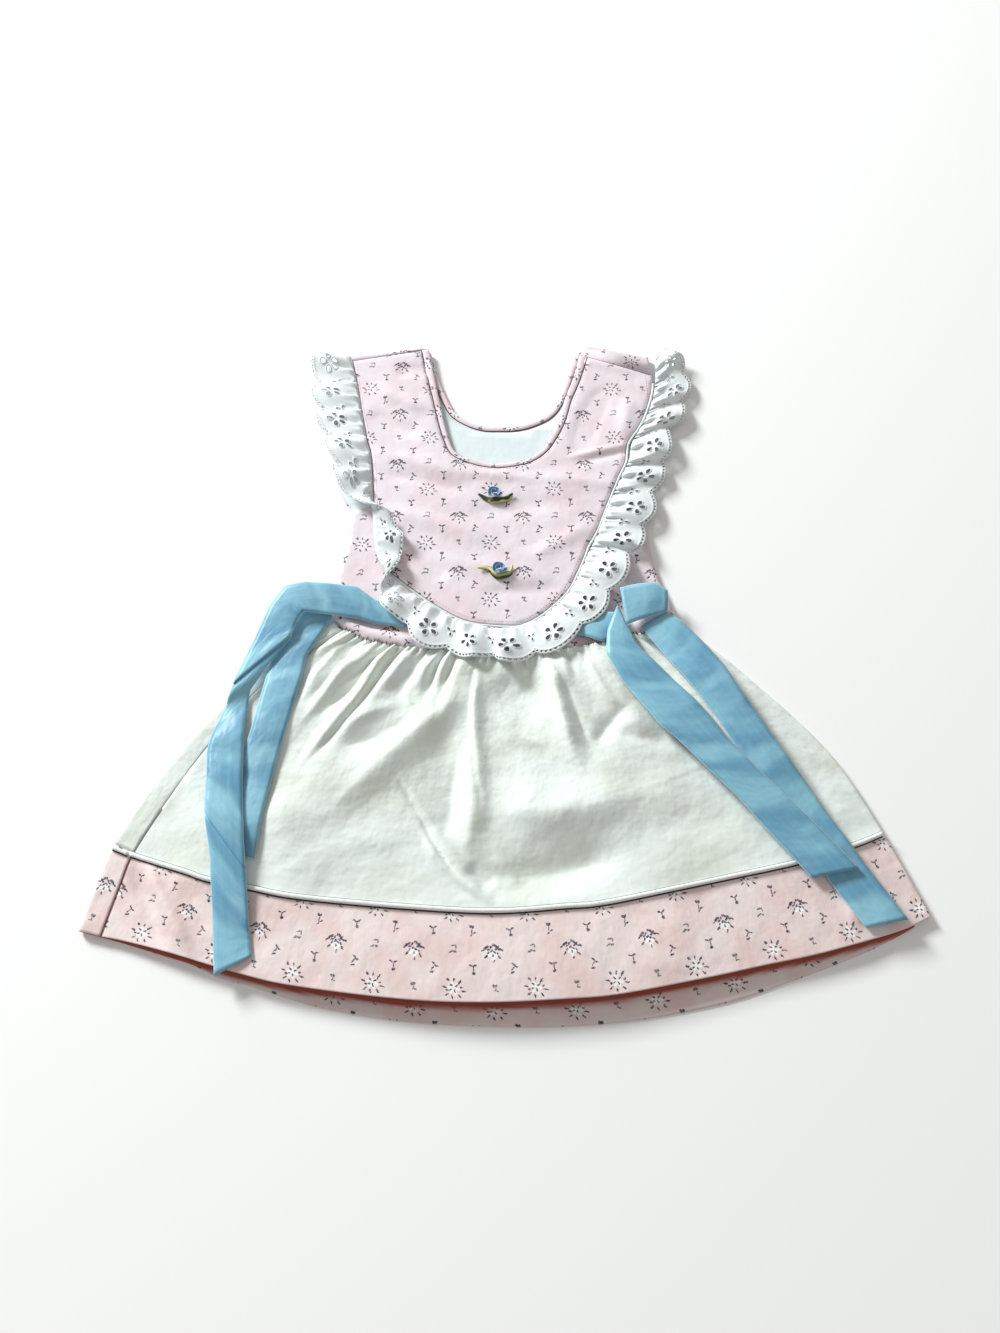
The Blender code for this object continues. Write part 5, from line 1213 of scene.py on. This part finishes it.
# %% Tie tables
# Left edge x, y, right edge x, y, lift, step after the row (1 steps up, -1 steps down, 0 runs on)
TIES = {
    "tie_left_back": ((
        (-141, 20, -119, 27, 0.5, 0), (-149, 4, -123, 10, 0.8, 0), (-157, -11, -131, -6, 1.2, 0),
        (-163, -26, -138, -20, 1.0, 0), (-165, -40, -140, -38, 0.5, 0), (-170, -71, -146, -69, 0.4, 0),
        (-176, -100, -152, -99, 0.4, 0), (-180, -132, -157, -134, 0.4, 0),
        (-180, -156, -160, -162, 0.4, 0)), ()),
    "tie_left_front": ((
        (-70, 21, -70, 3, 0.4, 0), (-93, 24, -90, 5, 0.5, 0), (-106, 34, -102, 8, 0.8, 0),
        (-125, 36, -116, 10, 1.6, 0), (-144, 36, -132, 11, 4.0, 0), (-157, 32, -141, 12, 5.0, 0),
        (-166, 18, -144, 9, 4.0, 0), (-174, -6, -146, 5, 2.4, 0), (-186, -42, -149, -6, 1.5, -1),
        (-190, -56, -175, -46, 0.6, 0), (-196, -74, -176, -64, 0.6, 0), (-198, -91, -174, -86, 0.6, 0),
        (-196, -104, -171, -118, 0.6, 0), (-194, -134, -164, -170, 0.4, 1),
        (-188, -162, -161, -190, 0.4, 0), (-184, -190, -159, -206, 0.4, 0),
        (-178, -234, -156, -222, 0.6, 0)), ("tie_left_back",)),
    "tie_right_front_start": ((
        (52, 16, 49, -3, 0.4, 0), (61, 16, 58, -6, 0.5, 0), (69, 13, 67, -10, 0.5, 0),
        (78, 13, 77, -6, 0.5, 0)), ()),
    "tie_right_front": ((
        (95, 2, 114, 14, 0.4, 0), (104, -12, 125, 5, 0.4, 0), (114, -27, 138, -12, 0.4, 0),
        (127, -45, 149, -28, 0.4, 0), (140, -66, 166, -60, 0.4, 0), (157, -96, 181, -86, 0.4, 0),
        (174, -126, 197, -113, 0.4, 0), (190, -153, 212, -139, 0.4, 0), (207, -181, 230, -168, 0.4, 0),
        (223, -205, 250, -200, 0.5, 0)), ()),
    "tie_right_back": ((
        (79, 18, 84, 4, 0.4, 0), (71, -2, 92, -14, 0.8, 0), (69, -20, 103, -27, 1.2, 0),
        (78, -39, 114, -40, 1.2, 0), (89, -55, 126, -53, 1.0, 0), (102, -73, 136, -66, 0.6, 0),
        (114, -84, 146, -81, 0.4, 0), (132, -104, 164, -103, 0.4, 0), (150, -123, 179, -119, 0.4, 0),
        (168, -145, 199, -140, 0.4, 0), (192, -175, 223, -169, 0.4, 0)),
        ("tie_right_front_start", "tie_right_front")),
    "tie_right_loop": ((
        (81, 30, 84, 1, 0.0, 0), (92, 33, 94, 5, 2.4, 0), (106, 35, 104, 8, 3.2, 0),
        (115, 29, 114, 13, 0.2, 0)), ("tie_right_front_start", "tie_right_front", "tie_right_back")),
}
# Across a tuck: distance past the fold's edge, rise
TUCK = ((-1.5, 0.0), (-0.5, -0.1), (-0.1, -0.15), (0.05, 0.4), (0.2, 0.9), (0.6, 1.15), (1.5, 1.2))
TUCK_RUN = 30.0


def tie_sections(rows, step=3.0):
    """Sections along a tie, with its tucks: left x, y, right x, y, lift and rise."""
    table = np.array(rows, float)
    middle = (table[:, :2] + table[:, 2:4]) / 2
    along = np.concatenate([[0], np.cumsum(np.linalg.norm(np.diff(middle, axis=0), axis=1))])
    found, resume, settling = [], 0.0, 0.0
    for tuck in [i for i in range(len(table)) if table[i, 5]] + [None]:
        over = tuck is not None and table[tuck, 5] > 0
        stop = along[-1] if tuck is None else along[tuck] - 8.0
        for place in np.linspace(resume, stop, max(2, round((stop - resume) / step) + 1)):
            rise = settling * max(0.0, 1 - (place - resume) / TUCK_RUN)
            if over:
                rise += 1.3 * math.exp(-((stop - place - 6.0) / 7.0) ** 2)
            elif tuck is not None:
                rise = max(rise, TUCK[-1][1] * max(0.0, 1 - (stop - place) / TUCK_RUN))
            found.append([np.interp(place, along, column) for column in table[:, :5].T] + [rise])
        if tuck is None:
            break
        settling = TUCK[-1][1] if over else 0.0
        row = table[tuck]
        run = middle[tuck + 1] - middle[tuck] if over else middle[tuck] - middle[tuck - 1]
        level = row[2:4] - row[:2]
        forward = np.array([level[1], -level[0]]) / np.linalg.norm(level)
        run = run / (run @ forward)
        for past, rise in TUCK if over else [(-past, rise) for past, rise in TUCK[::-1]]:
            corner = row[:2] + run * past
            found.append([*corner, *(corner + level), row[4], rise])
        resume = along[tuck] + 12.0
    return np.array(found)


def smoothed(values, times):
    for _ in range(times):
        padded = np.pad(values, 1, mode="edge")
        values = (padded[:-2] + 2 * padded[1:-1] + padded[2:]) / 4
    return values


def lay_tie(name, rows, below, columns=9):
    """A satin ribbon that lies on the named pieces through its sections."""
    sections = tie_sections(rows)
    across = np.linspace(0, 1, columns)
    plan = sections[:, None, :2] * (1 - across[:, None]) + sections[:, None, 2:4] * across[:, None]
    probes = np.linspace(-0.06, 1.06, 5)
    base = np.array([max(top_of(below, *(row[:2] * (1 - p) + row[2:4] * p), 3.0) for p in probes)
                     for row in sections])
    centre = plan.mean(axis=1)
    apart = np.linalg.norm(centre[:, None] - centre[None], axis=2)
    highest = np.where(apart < 8.0, base[None], 0.0).max(axis=1)
    near = np.exp(-(apart / 9.0) ** 2)
    lift = smoothed(sections[:, 4], 6)
    height = near @ highest / near.sum(axis=1) + 0.7 + lift + sections[:, 5]
    bow = 0.9 * (1 - (2 * across - 1) ** 2)
    middle = np.dstack([plan, height[:, None] + bow]).reshape(-1, 3)
    run = np.concatenate([[0], np.cumsum(np.linalg.norm(np.diff(centre, axis=0), axis=1))])
    uv = np.stack(np.broadcast_arrays((across - 0.5) * 25, run[:, None]), axis=-1).reshape(-1, 2)
    return sheet(name, middle, grid_faces(len(sections), columns), 0.45, uv, BLUE_SATIN), run[-1]


ground = ["skirt_front", "hem_band_front", "skirt_back", "hem_band_back", "bodice_front", "bodice_back",
          "back_lining", "hem_piping"]
tie_lengths = {}
for name, (rows, also) in TIES.items():
    tie_lengths[name] = lay_tie(name, rows, ground + list(also))[1]
print("ribbon in sight:", round(sum(tie_lengths.values())), "mm")

# %% [markdown]
# ## The eyelet ruffle
#
# Eyelet trim is cotton with punched holes, each rimmed with close stitches, and a scalloped edge with a
# ladder of small holes. It is cut flat as one long strip, with its holes really open, and then mapped
# onto the table that says where its root and its edge lie. That way the flowers bend with the ruffle.

# %% Ruffle tables
# Left shoulder to right shoulder: root x, y, z, edge x, y, z
RUFFLE_ROWS = (
    (-122.4, 240, 6.4, -152, 244, 4.0), (-116.2, 214, 6.2, -154, 217, 3.0),
    (-111.2, 187, 6.2, -150, 190, 3.0), (-106.2, 162, 6.2, -141, 166, 4.0),
    (-103.4, 149, 6.3, -137, 150, 4.6), (-101.4, 135, 6.5, -132, 134, 6.0),
    (-100.4, 121, 6.6, -124, 114, 9.0), (-100, 108, 6.6, -106, 98, 12.0),
    (-98, 96, 6.8, -86, 92, 12.0), (-96.5, 84, 6.8, -78, 84, 10.0), (-95, 69, 6.8, -73, 67, 9.0),
    (-89.5, 51, 6.8, -74, 44, 10.0), (-76.5, 38, 6.4, -91, 26, 10.0), (-61, 26, 6.4, -76, 5, 9.0),
    (-49.5, 18, 6.4, -62, -12, 9.0), (-34.5, 9, 6.4, -42, -20, 9.0), (-22, 5, 6.4, -23, -24, 9.5),
    (-1, 2, 6.4, 2, -27, 9.5), (19.5, 7, 6.4, 27, -22, 9.5), (33, 17, 6.4, 52, -6, 9.5),
    (46, 31, 6.4, 70, 13, 9.0), (53.5, 46, 6.4, 83, 33, 8.0), (58.5, 58, 6.2, 92, 51, 7.0),
    (68, 79, 6.0, 103, 73, 5.0), (75, 97.5, 5.8, 112, 95, 4.0), (81.5, 114, 5.6, 117, 115, 3.4),
    (88, 129, 6.2, 123, 134, 3.0), (94, 143, 6.2, 128, 151, 3.0), (97, 158, 6.2, 130, 170, 3.0),
    (105, 173, 6.2, 140, 184, 3.0), (111, 186, 6.2, 145, 202, 3.0), (117, 206, 6.2, 148, 222, 3.0),
    (119, 222, 6.3, 143, 243, 4.0), (120, 238, 6.4, 130, 252, 6.0),
)
SCALLOPS, SCALLOP_WIDTH, RUFFLE_DEPTH, SCALLOP_RISE = 22, 38.0, 40.0, 0.19
FLOWER_DEPTH = 0.55
PETAL_REACH, PETAL_LENGTH, PETAL_WIDTH = 5.5, 2.5, 1.75
LADDER_HOLES, LADDER_INSET, LADDER_RADIUS = 11, 2.4, 0.88


def ruffle_middle(flat, table):
    """The middle of the ruffle for points of its flat cut."""
    fraction = flat[:, 0] / (SCALLOPS * SCALLOP_WIDTH)
    out = flat[:, 1] / RUFFLE_DEPTH
    placed = table(fraction)
    points = placed[:, :3] + (placed[:, 3:] - placed[:, :3]) * out[:, None]
    phase = 2 * math.pi * flat[:, 0] / SCALLOP_WIDTH
    wave = 0.5 - 0.5 * np.cos(phase + 0.9 * np.sin(phase * 5 / 11))
    swell = smoothstep(out / 0.7) * (0.72 + 0.28 * np.sin(phase * 3 / 11 + 1.0))
    pleat = 0.5 - 0.5 * np.cos(phase * 2 + 0.8 * np.sin(phase * 2 / 11))
    rise = 6.2 * wave * swell + 3.0 * pleat ** 1.5 * (1 - smoothstep(out / 0.66)) * smoothstep(out / 0.1)
    rise += 0.95 * np.cos(phase * 5 + 2 * np.sin(phase)) * (1 - smoothstep(out / 0.46))
    ahead = -table.outward(fraction, 1) @ np.array([[0, 1], [-1, 0]])
    points[:, 2] += rise + 2.0 * np.sin(math.pi * np.clip(out, 0, 1))
    points[:, :2] += ahead * (0.85 * rise)[:, None]
    return points


def scallop_edge(u, inset=0.0):
    part = np.mod(u / SCALLOP_WIDTH, 1.0)
    return np.column_stack([u, RUFFLE_DEPTH * (1 - SCALLOP_RISE * (2 * part - 1) ** 2) - inset])


def petal(centre, angle, grow=0.0, reach=PETAL_REACH, length=PETAL_LENGTH, width=PETAL_WIDTH):
    """A pointed oval eyelet, or the same outline grown for its rim."""
    along = np.array([math.cos(angle), math.sin(angle)])
    aside = np.array([-along[1], along[0]])
    turns = 2 * math.pi * np.arange(12) / 12
    sideways = (width + grow) * np.sin(turns) * (1 + 0.25 * np.cos(turns))
    return centre + along * (reach + (length + grow) * np.cos(turns))[:, None] + aside * sideways[:, None]

# %% Cut and lay the ruffle
length = SCALLOPS * SCALLOP_WIDTH
u_edge = np.linspace(0, length, SCALLOPS * 24 + 1)
u_root = np.linspace(0, length, SCALLOPS * 16 + 1)
outline = np.vstack([np.column_stack([u_root, np.zeros(len(u_root))]),
                     [(length, RUFFLE_DEPTH * f) for f in (0.2, 0.4, 0.6, 0.8)],
                     scallop_edge(u_edge)[::-1],
                     [(0, RUFFLE_DEPTH * f) for f in (0.8, 0.6, 0.4, 0.2)]])
ovals = []
for i in range(SCALLOPS):
    centre = np.array([(i + 0.5) * SCALLOP_WIDTH, RUFFLE_DEPTH * FLOWER_DEPTH])
    for k in range(5):
        ovals.append((centre, math.pi / 2 + 2 * math.pi * (k + 0.12 * math.sin(3 * i + k)) / 5))
    if i:
        between = np.array([i * SCALLOP_WIDTH, RUFFLE_DEPTH * 0.40])
        ovals += [(between, math.radians(turn), 2.7, 1.5, 0.85) for turn in (90, 215, 325)]
holes, ladder, ladder_rims, rims, stitch_points = [], [], [], [], []
for centre, turn, *shape in ovals:
    holes.append(petal(centre, turn, 0.0, *shape))
    stitch_points.append(petal(centre, turn, 0.38, *shape))
    rims += [petal(centre, turn, 0.38, *shape), petal(centre, turn, 0.8, *shape)]
for i in range(SCALLOPS):
    for part in np.linspace(0.04, 0.96, LADDER_HOLES):
        place = scallop_edge(np.array([(i + part) * SCALLOP_WIDTH]), LADDER_INSET)[0]
        turns = 2 * math.pi * np.arange(6) / 6
        ladder.append(place + LADDER_RADIUS * np.column_stack([np.cos(turns), np.sin(turns)]))
        ladder_rims.append(place + (LADDER_RADIUS + 0.35) * np.column_stack([np.cos(turns), np.sin(turns)]))
rims += ladder_rims
holes += ladder
lines = [scallop_edge(u_edge, inset) for inset in (3.3, 3.8, 4.4, 5.0)]
spread = even_points(outline, 1.9, 0.5)
spread = spread[spread[:, 1] < scallop_edge(spread[:, 0], 5.8)[:, 1]]
taken = np.vstack(rims)
taken_blocks = [taken[(taken[:, 0] >= left_end - 3) & (taken[:, 0] < left_end + 41)]
                for left_end in np.arange(SCALLOPS) * SCALLOP_WIDTH]
block = np.clip((spread[:, 0] / SCALLOP_WIDTH).astype(int), 0, SCALLOPS - 1)
clear = np.array([np.min(np.hypot(*(taken_blocks[b] - point).T)) for b, point in zip(block, spread)])
in_hole = np.zeros(len(spread), bool)
for centre, turn, *shape in ovals:
    close = np.abs(spread[:, 0] - centre[0]) < 12
    in_hole[close] |= inside(petal(centre, turn, 0.8, *shape), spread[close])
inner = np.vstack([spread[(clear > 0.75) & ~in_hole]] + rims + lines)
flat, faces = flat_filled(outline, inner, holes)
ruffle_table = Curve(RUFFLE_ROWS)
middle = ruffle_middle(flat, ruffle_table)
below = [name for name in laid if not name.startswith("rose")]
ground_height = np.array([top_of(below, x, y) for x, y in middle[:, :2]])
middle[:, 2] = np.maximum(middle[:, 2], ground_height + 0.7)
normals = point_normals(middle, faces)
if normals[:, 2].mean() < 0:
    normals = -normals


def among(points, chosen):
    """1 at each point that is one of the chosen ones."""
    places = {tuple(place) for place in np.round(np.vstack(chosen), 2).tolist()}
    return np.array([float(tuple(place) in places) for place in np.round(points, 2).tolist()])


from_edge = scallop_edge(flat[:, 0])[:, 1] - flat[:, 1]
relief = 0.5 * np.exp(-((from_edge - 3.8) / 0.45) ** 2) + 0.5 * among(flat, stitch_points)
middle += normals * relief[:, None]
# The rims of the eyelets and ladder holes are darkened as painted shade, for the shadow seen in each hole.
painted_hole_shade = np.maximum(0.85 * among(flat, holes), among(flat, ladder))
sheet("eyelet_ruffle", middle, faces, 0.4, flat, WHITE_LACE, {"shade": painted_hole_shade})

# %% [markdown]
# ## The ribbon roses
#
# Each rose is a narrow satin ribbon wound into a bud. The bud is a spiral strip whose turns lean
# outward. It sits on a bent green ribbon that stands for its leaves, with a second, paler ribbon showing
# along the lower edge of the first.

# %% Roses
# Centre x, y, then the points that the leaf ribbon runs through, and the tone of the upper ribbon
ROSES = (
    ((-8, 112.5), ((-20, 111.5), (-12.5, 107.5), (-6.5, 107), (0.5, 108.5), (5.5, 112)), "dark"),
    ((-4.5, 48.0), ((-20, 48.5), (-12, 48.5), (-5, 43), (3, 45.5), (5, 50.5)), "pale"),
)


def wound_rose(name, x, y, base, height=4.2, reach_x=6.4, reach_y=5.4, turns_made=2.0):
    """A narrow ribbon wound into a bud, its turns leaning outward."""
    turns = np.linspace(0, turns_made * 2 * math.pi, 110)
    share = turns / turns[-1]
    reach = 0.14 + 0.86 * share ** 0.85 * (1 + 0.06 * np.cos(3 * turns + 0.5))
    up = np.linspace(0, 1, 9)
    lean = reach[:, None] * (0.50 + 0.62 * up - 0.12 * up ** 3)
    rise = (height * (1 - 0.42 * share))[:, None] * np.sin(up * 1.7) ** 0.85
    rise = rise + 0.35 * np.cos(5 * turns + 1.0)[:, None] * up ** 2
    middle = np.stack([x + reach_x * lean * np.cos(turns)[:, None],
                       y + reach_y * lean * np.sin(turns)[:, None], base + rise], axis=-1).reshape(-1, 3)
    uv = np.stack(np.broadcast_arrays(up * 2.6, turns[:, None] * 3), axis=-1).reshape(-1, 2)
    return sheet(name, middle, grid_faces(len(turns), len(up)), 0.3, uv, ROSE_SATIN)


def leaf_ribbon(name, path, base, material, width):
    """A ribbon bent through a shallow smile and twisted on edge at both ends."""
    run = Curve(path)(np.linspace(0, 1, 44))
    ahead = np.gradient(run, axis=0)
    aside = np.column_stack([ahead[:, 1], -ahead[:, 0]]) / np.linalg.norm(ahead, axis=1, keepdims=True)
    share = np.linspace(0, 1, 44)
    half = width / 2 * (0.35 + 0.65 * np.sin(np.clip(share * 1.08 - 0.04, 0, 1) * math.pi) ** 0.6)
    across = np.linspace(-1, 1, 7)
    plan = run[:, None] + aside[:, None] * (across * half[:, None])[..., None]
    height = base + 1.0 + 0.9 * (1 - across[None] ** 2) + 0.5 * np.cos(share * 4 * math.pi)[:, None]
    middle = np.dstack([plan, height[..., None]]).reshape(-1, 3)
    uv = np.stack(np.broadcast_arrays(across * half[:, None], share[:, None] * 30), axis=-1).reshape(-1, 2)
    return sheet(name, middle, grid_faces(44, 7), 0.3, uv, material)


for number, ((x, y), leaf, tone) in enumerate(ROSES, start=1):
    base = top_of(["bib"], x, y, 6.0)
    wound_rose(f"rose_{number}", x, y, base + 1.4)
    leaf_ribbon(f"rose_leaf_{number}", leaf, base, LEAF_SATIN if tone == "dark" else PALE_SATIN, 4.4)
    lower = [(px, py - 1.6) for px, py in leaf[1:]]
    leaf_ribbon(f"rose_leaf_under_{number}", lower, base - 0.7,
                PALE_SATIN if tone == "dark" else LEAF_SATIN, 3.0)

# %% [markdown]
# ## Attaching the pieces to one body
#
# Every piece rides on the one body that the dress is, and stands for the solid it replaces. The size
# that each free sheet of cloth was cut to is printed.

# %% Ride, replace and print the cuts
TIE_WIDTH = 0.025
# What each sheet was cut to, in metres, how it is held and what it lies on. The area printed further
# down, as a share of width times length, is the modelled sheet's own, at most width times length, and not a
# measure of the cut.
CUTS = {
    "skirt_front": ((0.62, 0.235), "gathered", ("skirt_back",)),
    "skirt_back": ((0.56, 0.215), "laid", ()),
    "hem_band_front": ((0.56, 0.068), "laid", ("hem_band_back",)),
    "hem_band_back": ((0.56, 0.068), "laid", ()),
    "bodice_back": ((0.255, 0.285), "folded", ()),
    "back_lining": ((0.255, 0.245), "laid", ("bodice_back",)),
    "bodice_front": ((0.245, 0.130), "laid", ("back_lining",)),
    "bib": ((0.245, 0.245), "laid", ("bodice_front",)),
    "front_neck_binding": ((0.012, 0.270), "laid", ("bib",)),
    "back_neck_binding": ((0.012, 0.225), "laid", ("back_lining",)),
    "eyelet_ruffle": ((SCALLOPS * SCALLOP_WIDTH * MM, RUFFLE_DEPTH * MM), "gathered",
                      ("bodice_front", "bib")),
}
for name, run in tie_lengths.items():
    tie_held = "folded" if name in ("tie_left_front", "tie_right_loop") else "laid"
    CUTS[name] = ((TIE_WIDTH, run * MM), tie_held, tuple(TIES[name][1]) or ("skirt_front",))
solids = set(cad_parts)
replaced = {f"rose_leaf_{i}": f"rose_leaves_{i}" for i in (1, 2)}
for name, piece in pieces.items():
    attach(piece, "root")
    if name in solids or name in replaced:
        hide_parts(replaced.get(name, name))
for name, (flat_size, held, below) in CUTS.items():
    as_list(below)
    print(name, np.round(flat_size, 3), held, round(areas[name] / (flat_size[0] * flat_size[1]), 2))
print("not replaced:", solids - set(pieces) - set(replaced.values()))
